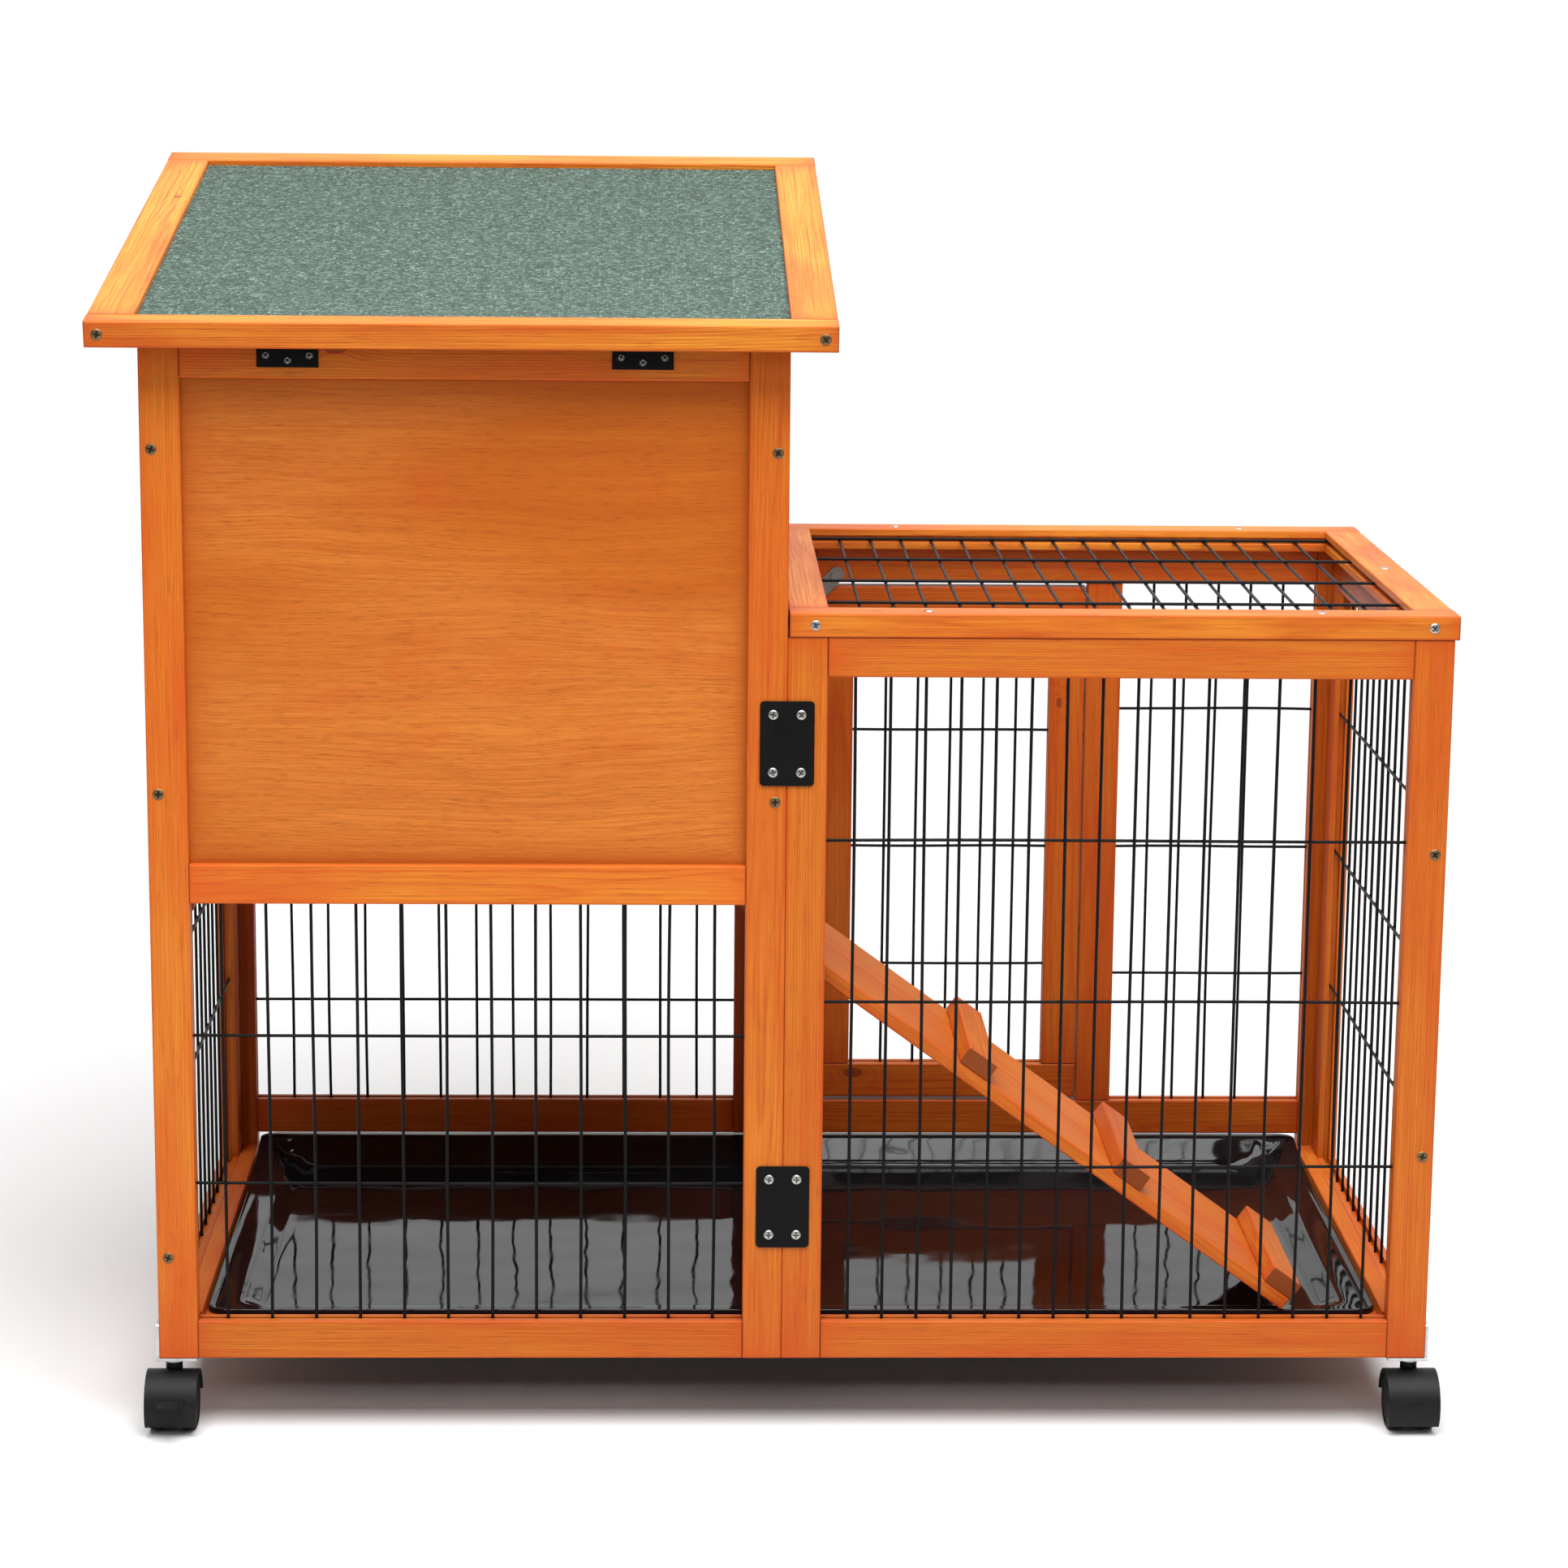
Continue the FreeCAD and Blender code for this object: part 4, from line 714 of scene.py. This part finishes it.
class Wire:
    """One straight CAD wire, with the slight bow that a real one has."""

    def __init__(self, group, rng):
        low, high = island_box(group)
        size = high - low
        self.axis = max(range(3), key=lambda i: size[i])
        self.radius = min(size) / 2
        self.middle = (low + high) / 2
        self.half = size[self.axis] / 2
        self.bow = rng.uniform(-1.0, 1.0) * WIRE_BOW
        self.twist = rng.uniform(-1.0, 1.0) * WIRE_TWIST

    def place(self, t, side):
        """A point on the wire at t from -1 to 1, bowed along the wall."""
        point = self.middle.copy()
        point[self.axis] += t * self.half
        point += side * (self.bow * (1 - t * t) + self.twist * math.sin(math.pi * t))
        return point

    def at(self, value, side):
        """The point on the wire at a coordinate along its axis."""
        return self.place((value - self.middle[self.axis]) / self.half, side)


def add_tube(bm, points, radius, normal):
    """A round tube along points that all lie in a plane with the given normal."""
    rings = []
    for i, point in enumerate(points):
        before, after = points[max(i - 1, 0)], points[min(i + 1, len(points) - 1)]
        ahead = (after - before).normalized()
        right = normal.cross(ahead).normalized()
        ring = []
        for k in range(WIRE_SIDES):
            turn = 2 * math.pi * k / WIRE_SIDES
            ring.append(point + (right * math.cos(turn) + normal * math.sin(turn)) * radius)
        rings.append(ring)
    loft(bm, rings)


def add_weld(bm, place, radius):
    """A small lump where two wires cross."""
    made = bmesh.ops.create_icosphere(bm, subdivisions=1, radius=radius)
    bmesh.ops.translate(bm, verts=made["verts"], vec=place)


def mesh_panel(node, wall_normal, material):
    """A welded mesh panel: bowed wires and a weld at every crossing."""
    source = cad_bmesh(node, False)
    rng = random.Random(node)
    wires = [Wire(group, rng) for group in islands(source)]
    source.free()
    first_axis = wires[0].axis
    sets = [w for w in wires if w.axis == first_axis], [w for w in wires if w.axis != first_axis]
    bm = bmesh.new()
    sides = []
    for group, other in (sets, sets[::-1]):
        side = Vector([1.0 if i == other[0].axis else 0.0 for i in range(3)])
        sides.append(side)
        for wire in group:
            points = [wire.place(-1 + 2 * i / WIRE_STEPS, side) for i in range(WIRE_STEPS + 1)]
            add_tube(bm, points, wire.radius, wall_normal)
    for a in sets[0]:
        for b in sets[1]:
            on_a = a.at(b.middle[a.axis], sides[0])
            on_b = b.at(on_a[b.axis], sides[1])
            add_weld(bm, (on_a + on_b) / 2, WELD_SIZE * a.radius)
    bmesh.ops.recalc_face_normals(bm, faces=bm.faces)
    shade(mesh_object(node + "_wires", bm, material, BODY_OF[node], (node,)), 60.0)


# ---- screws ----
HEAD_SECTORS, HEAD_RINGS = 48, 12
HEAD_SHOULDER = 0.9
CROSS_WIDTH, CROSS_REACH, CROSS_DEPTH = 0.13, 0.62, 0.85
STAR_WIDTH, STAR_REACH, STAR_DEPTH = 0.05, 0.42, 0.25
HUTCH_MIDDLE = Vector((0, 0, 0.4))
# silver screws: radius and height of the head
PLATE_HEAD = 3.5 * MM, 0.95 * MM
HINGE_HEAD = 2.7 * MM, 0.9 * MM
BRACKET_HEAD = 3.6 * MM, 1.0 * MM


def head_point(x, y, share):
    """Height of a screw head, as a share of its full height, and how deep in the recess it is."""
    dome = 1 - 0.45 * share ** 2 if share < HEAD_SHOULDER else (1 - share) * 5.5
    if min(abs(x), abs(y)) < CROSS_WIDTH and max(abs(x), abs(y)) < CROSS_REACH:
        return dome - CROSS_DEPTH, 1.0
    if abs(abs(x) - abs(y)) < STAR_WIDTH and share < STAR_REACH:
        return dome - STAR_DEPTH, 0.4
    return dome, 0.0


def add_screw(bm, centre, axis, radius, height, turn):
    """A domed head with a cross recess, standing on a face at centre."""
    # recess: how deep in the cross a corner lies, which the metal material darkens as painted shade
    recess = bm.verts.layers.float.get("recess") or bm.verts.layers.float.new("recess")
    right = axis.orthogonal().normalized()
    ahead = axis.cross(right)
    grid = []
    for i in range(1, HEAD_RINGS + 1):
        share = i / HEAD_RINGS
        ring = []
        for k in range(HEAD_SECTORS):
            angle = 2 * math.pi * k / HEAD_SECTORS
            x, y = share * math.cos(angle - turn), share * math.sin(angle - turn)
            level, sunk = head_point(x, y, share)
            flat = right * math.cos(angle) + ahead * math.sin(angle)
            vert = bm.verts.new(centre + flat * radius * share + axis * height * level)
            vert[recess] = sunk
            ring.append(vert)
        grid.append(ring)
    middle = bm.verts.new(centre + axis * height * 0.1)
    middle[recess] = 1.0
    for k in range(HEAD_SECTORS):
        after = (k + 1) % HEAD_SECTORS
        bm.faces.new((middle, grid[0][k], grid[0][after]))
        for a, b in zip(grid, grid[1:]):
            bm.faces.new((a[k], b[k], b[after], a[after]))


def screw_piece(name, heads, material, body, replaced=()):
    """Several screws as one piece; each head is (centre, axis, radius, height)."""
    bm = bmesh.new()
    rng = random.Random(name)
    for centre, axis, radius, height in heads:
        add_screw(bm, centre, axis, radius, height, rng.uniform(0, math.pi / 2))
    shade(mesh_object(name, bm, material, body, replaced), 45.0)


def screw_places(node):
    """Centre on the face, outward axis, radius and height of each CAD screw head."""
    bm = cad_bmesh(node)
    heads = []
    for group in islands(bm):
        ends = sorted(group, key=lambda face: face.calc_area())[-2:]
        out = max(ends, key=lambda face: face.normal.dot(face.calc_center_median() - HUTCH_MIDDLE))
        top = out.calc_center_median()
        inner = min(ends, key=lambda face: (face.calc_center_median() - top).dot(out.normal))
        foot = inner.calc_center_median()
        radius = math.sqrt(out.calc_area() / math.pi)
        heads.append((foot, out.normal.copy(), radius, (top - foot).length))
    bm.free()
    return heads


def frame_screws(bronze, silver):
    """The CAD heads, silver in the lid and bronze in the posts."""
    lid_low, lid_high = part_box("lid_frame")
    lid_heads, post_heads = [], []
    for head in screw_places("frame_screws"):
        on_lid = head[0].z > lid_low.z and head[0].x > lid_low.x and head[0].y < lid_high.y + MM
        (lid_heads if on_lid else post_heads).append(head)
    screw_piece("lid_screws", lid_heads, silver, "hutch")
    screw_piece("post_screws", post_heads, bronze, "hutch", ("frame_screws",))


# ---- ironmongery ----
def trim(node, material, edge):
    """A part that keeps its CAD shape, with softened edges; the edge is in mm."""
    bm = cad_bmesh(node)
    soften(bm, edge * MM)
    smooth(mesh_object(node + "_trim", bm, material, BODY_OF[node], (node,)))


def rounded_outline(x0, x1, y0, y1, radius, steps=6):
    """Points round a rectangle with rounded corners, anticlockwise."""
    points = []
    corners = ((x1, y1, 0), (x0, y1, 90), (x0, y0, 180), (x1, y0, 270))
    for x, y, start in corners:
        cx = x - math.copysign(radius, x - (x0 + x1) / 2)
        cy = y - math.copysign(radius, y - (y0 + y1) / 2)
        for i in range(steps + 1):
            angle = math.radians(start + 90 * i / steps)
            points.append((cx + radius * math.cos(angle), cy + radius * math.sin(angle)))
    return points


PLATE_THICK = 1.5 * MM
PLATE_CORNER = 3.0 * MM
PLATE_EDGE = 0.35 * MM
# height above the timber, and how far the edge has rolled in, as a share of PLATE_EDGE
PLATE_LAYERS = (
    (0.0, 0.0), (PLATE_THICK - PLATE_EDGE, 0.0), (PLATE_THICK - 0.1 * MM, 0.25), (PLATE_THICK, 1.0),
)
PLATE_SCREWS = ((-9.8, -20.5), (9.8, -20.5), (-9.8, 20.5), (9.8, 20.5))


def connector_plates(node, out, material, silver):
    """Pressed plates with rolled edges, each held by four silver screws."""
    bm = bmesh.new()
    heads = []
    for low, high in island_boxes(node):
        middle = (low + high) / 2
        face_y = high.y if out < 0 else low.y
        rings = []
        for depth, share in PLATE_LAYERS:
            roll = share * PLATE_EDGE
            outline = rounded_outline(
                low.x + roll, high.x - roll, low.z + roll, high.z - roll, PLATE_CORNER - roll
            )
            rings.append([Vector((x, face_y + out * depth, z)) for x, z in outline])
        loft(bm, rings)
        for dx, dz in PLATE_SCREWS:
            spot = Vector((middle.x + dx * MM, face_y + out * PLATE_THICK, middle.z + dz * MM))
            heads.append((spot, Vector((0, out, 0)), *PLATE_HEAD))
    bmesh.ops.recalc_face_normals(bm, faces=bm.faces)
    smooth(mesh_object(node + "_pressed", bm, material, "hutch", (node,)))
    screw_piece(node + "_screws", heads, silver, "hutch")


# place along the hinge, and drop below the pin, of each screw in a lower leaf
ROOF_HINGE_SCREWS = ((-14.8, 8.5), (0.0, 12.0), (14.8, 8.5))
PIN_BELOW_TOP = 2.4 * MM
LEAF_THICK = 1.2 * MM


def roof_hinges(material, silver):
    """Black leaves with knuckles, and three silver screws in each lower leaf."""
    trim("roof_hinge_leaves", material, edge=0.2)
    trim("roof_hinge_bases", material, edge=0.2)
    heads = []
    for low, high in island_boxes("roof_hinge_bases"):
        middle_x = (low.x + high.x) / 2
        for dx, drop in ROOF_HINGE_SCREWS:
            screw_z = high.z - PIN_BELOW_TOP - drop * MM
            spot = Vector((middle_x + dx * MM, high.y - LEAF_THICK, screw_z))
            heads.append((spot, -Y_AXIS, *HINGE_HEAD))
    screw_piece("roof_hinge_screws", heads, silver, "hutch")


CHEEK_LIP = 1.0 * MM
CHEEK_SCREWS = (-6.0, 8.0)
CHEEK_SCREW_DROP = 11.0 * MM


def caster_bracket(name, material, silver):
    """Plate and cheek with two screws in the cheek."""
    node = "caster_bracket_" + name
    low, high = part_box(node)
    trim(node, material, edge=0.25)
    side = 1 if high.x > 0 else -1
    face_x = (high.x - CHEEK_LIP) if side > 0 else (low.x + CHEEK_LIP)
    stem_y = (low.y + high.y) / 2
    heads = []
    for dy in CHEEK_SCREWS:
        spot = Vector((face_x, stem_y + dy * MM, high.z - CHEEK_SCREW_DROP))
        heads.append((spot, Vector((side, 0, 0)), *BRACKET_HEAD))
    screw_piece(node + "_screws", heads, silver, "hutch")


# ---- tray, millimetres ----
TRAY_FLANGE_Z, TRAY_RIM_Z = 78.5, 80.4
RIM_ROLL = 1.9
LIP_TOP, LIP_FOOT = 13.2, 23.2
SHEET = 1.6
CORNER_STEPS = 8
SIDE_STEPS = (14, 7, 14, 7)
# inset at the sides, near edge and far edge, height and corner radius
TRAY_PROFILE = (
    (0.2, 0.2, 0.2, 76.2, 14.0),
    (0.0, 0.0, 0.0, 77.4, 14.0),
    (0.0, 0.0, 0.0, 79.6, 14.0),
    (0.7, 0.7, 0.3, 80.4, 13.5),
    (1.8, 1.8, 0.9, 80.4, 12.6),
    (2.6, 2.6, 1.6, 79.4, 12.0),
    (4.0, 4.0, 2.6, 78.6, 11.0),
    (12.0, 9.0, 7.0, 78.5, 11.0),
    (20.0, 14.5, 12.0, 78.5, 12.0),
    (22.8, 16.0, 13.6, 78.3, 13.0),
    (23.8, 16.6, 15.4, 78.0, 14.0),
    (24.6, 17.2, 22.0, 77.6, 14.0),
    (25.4, 17.8, 23.6, 77.0, 15.0),
    (28.0, 19.4, 24.9, 75.5, 15.0),
    (34.5, 23.0, 27.2, 71.6, 16.0),
    (36.6, 24.4, 28.4, 70.4, 17.0),
    (39.5, 27.0, 31.0, 70.0, 19.0),
    (70.0, 55.0, 55.0, 69.9, 20.0),
)


def divide_sides(outline):
    """Add points along the straight sides between a rounded rectangle's corners."""
    points = []
    for i, a in enumerate(outline):
        b = outline[(i + 1) % len(outline)]
        corner, place = divmod(i, CORNER_STEPS + 1)
        count = SIDE_STEPS[corner] if place == CORNER_STEPS else 1
        for k in range(count):
            points.append((a[0] + (b[0] - a[0]) * k / count, a[1] + (b[1] - a[1]) * k / count))
    return points


def tray_rise(inset, height, spare):
    """How much the sheet rises at a distance from the pulling edge; the rim stays in the box."""
    share = min(1.0, max(0.0, (LIP_FOOT - inset) / (LIP_FOOT - LIP_TOP)))
    return share * (height - RIM_ROLL + min(RIM_ROLL, spare))


def tray(material):
    """One vacuum-formed skin with rolled rim, rounded folds and a raised pulling edge."""
    low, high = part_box("tray")
    x0, x1, y0, y1 = low.x / MM, high.x / MM, low.y / MM, high.y / MM
    lip_height = high.z / MM - TRAY_FLANGE_Z
    skin = []
    for side, near, far, z, radius in TRAY_PROFILE:
        outline = rounded_outline(x0 + side, x1 - side, y0 + near, y1 - far, radius, CORNER_STEPS)
        ring = []
        for x, y in divide_sides(outline):
            ring.append(Vector((x, y, z + tray_rise(y1 - y, lip_height, TRAY_RIM_Z - z))) * MM)
        skin.append(ring)
    bm = bmesh.new()
    loft(bm, skin, cap_start=False)
    bmesh.ops.recalc_face_normals(bm, faces=bm.faces)
    if max(bm.faces, key=lambda face: face.calc_area()).normal.z < 0:
        bmesh.ops.reverse_faces(bm, faces=bm.faces)
    piece = mesh_object("tray_skin", bm, material, "tray", ("tray",))
    piece.data.shade_smooth()
    sheet = piece.modifiers.new("sheet", "SOLIDIFY")
    sheet.thickness = SHEET * MM
    sheet.offset = -1.0
    rounding = piece.modifiers.new("rounding", "SUBSURF")
    rounding.levels = rounding.render_levels = 1


# ---- casters ----
# distance from the caster's middle and radius, millimetres
WHEEL_PROFILE = (
    (5.0, 6.0), (5.0, 17.5), (5.4, 18.9), (6.4, 19.7), (8.5, 20.0), (13.5, 20.0), (15.6, 19.7),
    (16.7, 18.9), (17.1, 17.8), (17.1, 16.9), (16.4, 16.5), (16.2, 15.8), (16.6, 13.0),
    (17.0, 9.0), (17.2, 6.2), (17.0, 5.6), (17.3, 5.0), (17.4, 3.0), (17.4, 0.4),
)
AXLE_PROFILE = ((-5.2, 2.4), (5.2, 2.4))


def lathe(bm, profile, centre, axis, right, segments=56):
    """Turn (distance along the axis, radius) pairs round an axis."""
    ahead = axis.cross(right)
    rings = []
    for reach, radius in profile:
        ring = []
        for k in range(segments):
            angle = 2 * math.pi * k / segments
            around = right * math.cos(angle) + ahead * math.sin(angle)
            ring.append(centre + axis * reach * MM + around * radius * MM)
        rings.append(ring)
    loft(bm, rings)


def caster_wheels(name, material):
    """Two wheels with rounded treads, dished faces and hub caps, on one axle."""
    node = "caster_wheels_" + name
    low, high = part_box(node)
    centre = (low + high) / 2
    bm = bmesh.new()
    for way in (-1, 1):
        lathe(bm, WHEEL_PROFILE, centre, X_AXIS * way, Y_AXIS * way)
    lathe(bm, AXLE_PROFILE, centre, X_AXIS, Y_AXIS, 24)
    bmesh.ops.recalc_face_normals(bm, faces=bm.faces)
    shade(mesh_object(node + "_turned", bm, material, BODY_OF[node], (node,)), 50.0)


# ---- roof felt ----
FELT_CUTS = 47
FELT_WAVE, FELT_SUNK = 0.12, -0.14
LEAST_EDGE = 0.1
TOUCHING = 1e-5


def felt_wave(x, y):
    """The uneven lay of the felt, from -1 to 1, at a place in metres."""
    return math.sin(x * 31.0 + 1.3 * math.sin(y * 17.0)) * math.sin(y * 23.0 + 0.7)


def felt(material):
    """The felt as a slab with a slightly uneven laid surface."""
    bm = cad_bmesh("roof_felt")
    edges = [e for e in bm.edges if e.calc_length() > LEAST_EDGE]
    bmesh.ops.subdivide_edges(bm, edges=edges, cuts=FELT_CUTS, use_grid_fill=True)
    bm.normal_update()
    up = max(bm.faces, key=lambda face: face.normal.z).normal.copy()
    level = max(v.co.dot(up) for v in bm.verts)
    for vert in bm.verts:
        inner = len(vert.link_faces) == 4 and all(f.normal.dot(up) > 0.99 for f in vert.link_faces)
        if level - vert.co.dot(up) < TOUCHING and inner:
            vert.co += up * (FELT_WAVE * felt_wave(vert.co.x, vert.co.y) + FELT_SUNK) * MM
    smooth(mesh_object("roof_felt_laid", bm, material, "roof", ("roof_felt",)))


# ---- studio, metres and watts ----
FLOOR_RADIUS = 1.9
FLOOR_SEGMENTS = 96
# strength of the backdrop: behind the camera, behind the hutch, share for matt light, as seen
WORLD_DIM = 0.14
WORLD_BRIGHT = 1.0
WORLD_ON_MATT = 0.4
WORLD_SEEN = 1.05
WORLD_TURNS = -0.7, 0.4
# place, target, size and power
OVERHEAD = (0.1, -0.95, 2.9), (0.0, 0.0, 0.4), (2.7, 2.6), 196.0
FRONT_FILL = (0.1, -2.3, 1.55), (0.0, 0.0, 0.8), (2.4, 0.8), 12.0


def floor_material():
    """Pale near the hutch and paler at its rim, so that it runs out into the white backdrop."""
    s = Shader("studio_floor")
    place = s.position()
    x, y, _ = s.split(place)
    radius = s.math("SQRT", s.add(s.times(x, x), s.times(y, y)))
    rim = s.ramp(s.over(radius, FLOOR_RADIUS), (0.45, 0.0), (0.8, 1.0))
    pale = s.mix(s.noise(place, 1.4, 3.0), *FLOOR_PALE)
    s.set(Base_Color=s.mix(rim, pale, FLOOR_RIM), Roughness=0.9)
    s.set(Specular_IOR_Level=0.1)
    return s.material


def map_range(tree, value, low, high):
    """A node that maps 0 to 1 onto low to high; the caller may set other limits than 0 to 1."""
    made = tree.nodes.new("ShaderNodeMapRange")
    made.inputs["To Min"].default_value = low
    made.inputs["To Max"].default_value = high
    tree.links.new(value, made.inputs["Value"])
    return made


def studio_world():
    """A white backdrop that lights from behind and above; the side behind the camera is dim."""
    world = bpy.data.worlds.new("studio_white")
    world.use_nodes = True
    tree = world.node_tree
    direction = tree.nodes.new("ShaderNodeTexCoord")
    parts = tree.nodes.new("ShaderNodeSeparateXYZ")
    tree.links.new(direction.outputs["Generated"], parts.inputs[0])
    lean = map_range(tree, parts.outputs[1], WORLD_DIM, WORLD_BRIGHT)
    lean.inputs["From Min"].default_value, lean.inputs["From Max"].default_value = WORLD_TURNS
    seen = tree.nodes.new("ShaderNodeLightPath")
    matt = map_range(tree, seen.outputs["Is Diffuse Ray"], 1.0, WORLD_ON_MATT)
    spread = tree.nodes.new("ShaderNodeMath")
    spread.operation = "MULTIPLY"
    tree.links.new(lean.outputs[0], spread.inputs[0])
    tree.links.new(matt.outputs[0], spread.inputs[1])
    choose = tree.nodes.new("ShaderNodeMix")
    tree.links.new(seen.outputs["Is Camera Ray"], choose.inputs[0])
    tree.links.new(spread.outputs[0], choose.inputs[2])
    choose.inputs[3].default_value = WORLD_SEEN
    background = tree.nodes["Background"]
    tree.links.new(choose.outputs[0], background.inputs["Strength"])
    background.inputs["Color"].default_value = (1.0, 1.0, 1.0, 1.0)
    return world


def studio():
    """The floor, the backdrop and two soft lights."""
    bm = bmesh.new()
    bmesh.ops.create_circle(bm, cap_ends=True, segments=FLOOR_SEGMENTS, radius=FLOOR_RADIUS)
    mesh = bpy.data.meshes.new("studio_floor")
    bm.to_mesh(mesh)
    bm.free()
    floor = bpy.data.objects.new("studio_floor", mesh)
    bpy.context.scene.collection.objects.link(floor)
    mesh.materials.append(floor_material())
    bpy.context.scene.world = studio_world()
    area_light("overhead", *OVERHEAD)
    area_light("front_fill", *FRONT_FILL)


def area_light(name, place, target, size, power):
    """A rectangular soft light that points at a target."""
    light = bpy.data.lights.new(name, "AREA")
    light.shape = "RECTANGLE"
    light.size, light.size_y = size
    light.energy = power
    lamp = bpy.data.objects.new(name, light)
    lamp.location = place
    lamp.rotation_euler = (Vector(target) - Vector(place)).to_track_quat("-Z", "Y").to_euler()
    bpy.context.scene.collection.objects.link(lamp)


def camera():
    """The camera where the photograph was taken from, with a slight roll."""
    ahead = Vector((
        math.sin(CAMERA_YAW) * math.cos(CAMERA_PITCH),
        math.cos(CAMERA_YAW) * math.cos(CAMERA_PITCH),
        -math.sin(CAMERA_PITCH),
    ))
    level = Vector((math.cos(CAMERA_YAW), -math.sin(CAMERA_YAW), 0.0))
    above = level.cross(ahead)
    cos_roll, sin_roll = math.cos(CAMERA_ROLL), math.sin(CAMERA_ROLL)
    right = level * cos_roll + above * sin_roll
    up = above * cos_roll - level * sin_roll
    data = bpy.data.cameras.new("camera")
    data.lens = CAMERA_LENS
    data.sensor_width = SENSOR
    data.clip_end = 60.0
    eye = bpy.data.objects.new("camera", data)
    turn = Matrix((right, up, -ahead)).transposed()
    eye.matrix_world = Matrix.Translation(CAMERA_PLACE) @ turn.to_4x4()
    bpy.context.scene.collection.objects.link(eye)
    bpy.context.scene.camera = eye


# ---- the hutch ----
def woodwork():
    """Every member of timber and every sheet of plywood."""
    pine = timber_material("stained_pine", PINE, rough=0.3)
    # the roof and lid get lighter copies of the pine: painted light from above
    roof_pine = timber_material("roof_pine", ROOF_PINE_PAINTED_LIGHT, rough=0.3)
    lid_pine = timber_material("lid_pine", LID_PINE_PAINTED_LIGHT, rough=0.3)
    inner_pine = timber_material("inner_pine", INNER_PINE, rough=0.42)
    ramp_pine = timber_material("ramp_pine", RAMP_PINE, rough=0.44)
    veneer = plywood_material()
    for node in (
        "house_near_frame", "house_far_frame", "house_left_frame", "house_right_frame",
        "run_near_frame", "run_far_frame", "run_right_frame", "house_door_frame", "run_door_frame",
    ):
        timber(node, pine)
    timber("lid_frame", lid_pine)
    timber("roof_frame", roof_pine)
    for node in ("floor_cleats", "tray_guides"):
        timber(node, inner_pine)
    for node in ("ramp_planks", "ramp_cleats"):
        timber(node, ramp_pine, knots=0.4)
    for node in ("house_near_panel", "house_floor", "roof_board", "house_door_panel"):
        timber(node, veneer, edge=0.0, along_hint=X_AXIS)
    for node in ("house_left_panel", "house_right_panel"):
        timber(node, veneer, edge=0.0, along_hint=Y_AXIS)


def wire_panels():
    """The welded mesh of the house, the run, the run door and the lid."""
    wire = wire_material()
    for node in ("house_near_mesh", "house_far_mesh", "run_near_mesh", "run_far_mesh", "run_door_mesh"):
        mesh_panel(node, Y_AXIS, wire)
    for node in ("house_left_mesh", "run_right_mesh"):
        mesh_panel(node, X_AXIS, wire)
    mesh_panel("lid_mesh", Z_AXIS, wire)


CORNERS = ("near_left", "near_right", "far_left", "far_right")
BRAKED_CORNERS = ("near_left", "far_right")


def ironmongery():
    """Plates, screws, hinges, latches, pins and caster brackets."""
    black = powder_coat_material()
    zinc = metal_material("zinc_plate", ZINC, rough=0.32)
    patina = metal_material("hinge_patina", PATINA, rough=0.38, blotch=0.9)
    silver = metal_material("silver_screw", SILVER, rough=0.26)
    bronze = metal_material("bronze_screw_head", BRONZE, rough=0.36)
    connector_plates("near_connector_plates", -1, black, silver)
    connector_plates("far_connector_plates", 1, black, silver)
    frame_screws(bronze, silver)
    roof_heads = screw_places("roof_screws")
    screw_piece("roof_screw_heads", roof_heads, bronze, "roof", ("roof_screws",))
    roof_hinges(black, silver)
    for node in ("door_hinge_bases", "house_door_hinge_leaves", "run_door_hinge_leaves"):
        trim(node, patina, edge=0.15)
    trim("door_stop_tab", metal_material("tab_zinc", TAB_ZINC, rough=0.42), edge=0.25)
    for node in ("house_latch", "run_latch", "latch_screws", "ramp_brackets", "ramp_pivot"):
        trim(node, zinc, edge=0.25)
    for name in CORNERS:
        caster_bracket(name, zinc, silver)


def plastics():
    """The tray and the casters."""
    nylon = moulded_material("caster_nylon", CASTER_BLACK, rough=0.36)
    rubber = moulded_material("wheel_rubber", WHEEL_BLACK, rough=0.5)
    tray(tray_material())
    for name in CORNERS:
        trim("caster_hood_" + name, nylon, edge=0.5)
        caster_wheels(name, rubber)
    for name in BRAKED_CORNERS:
        trim("caster_brake_" + name, nylon, edge=0.4)


def plain_colours():
    """Show the colours without a film look."""
    view = bpy.context.scene.view_settings
    view.view_transform = "Standard"
    view.look = "None"
    view.exposure = 0.0
    view.gamma = 1.0


camera()
studio()
woodwork()
wire_panels()
felt(felt_material())
ironmongery()
plastics()
plain_colours()
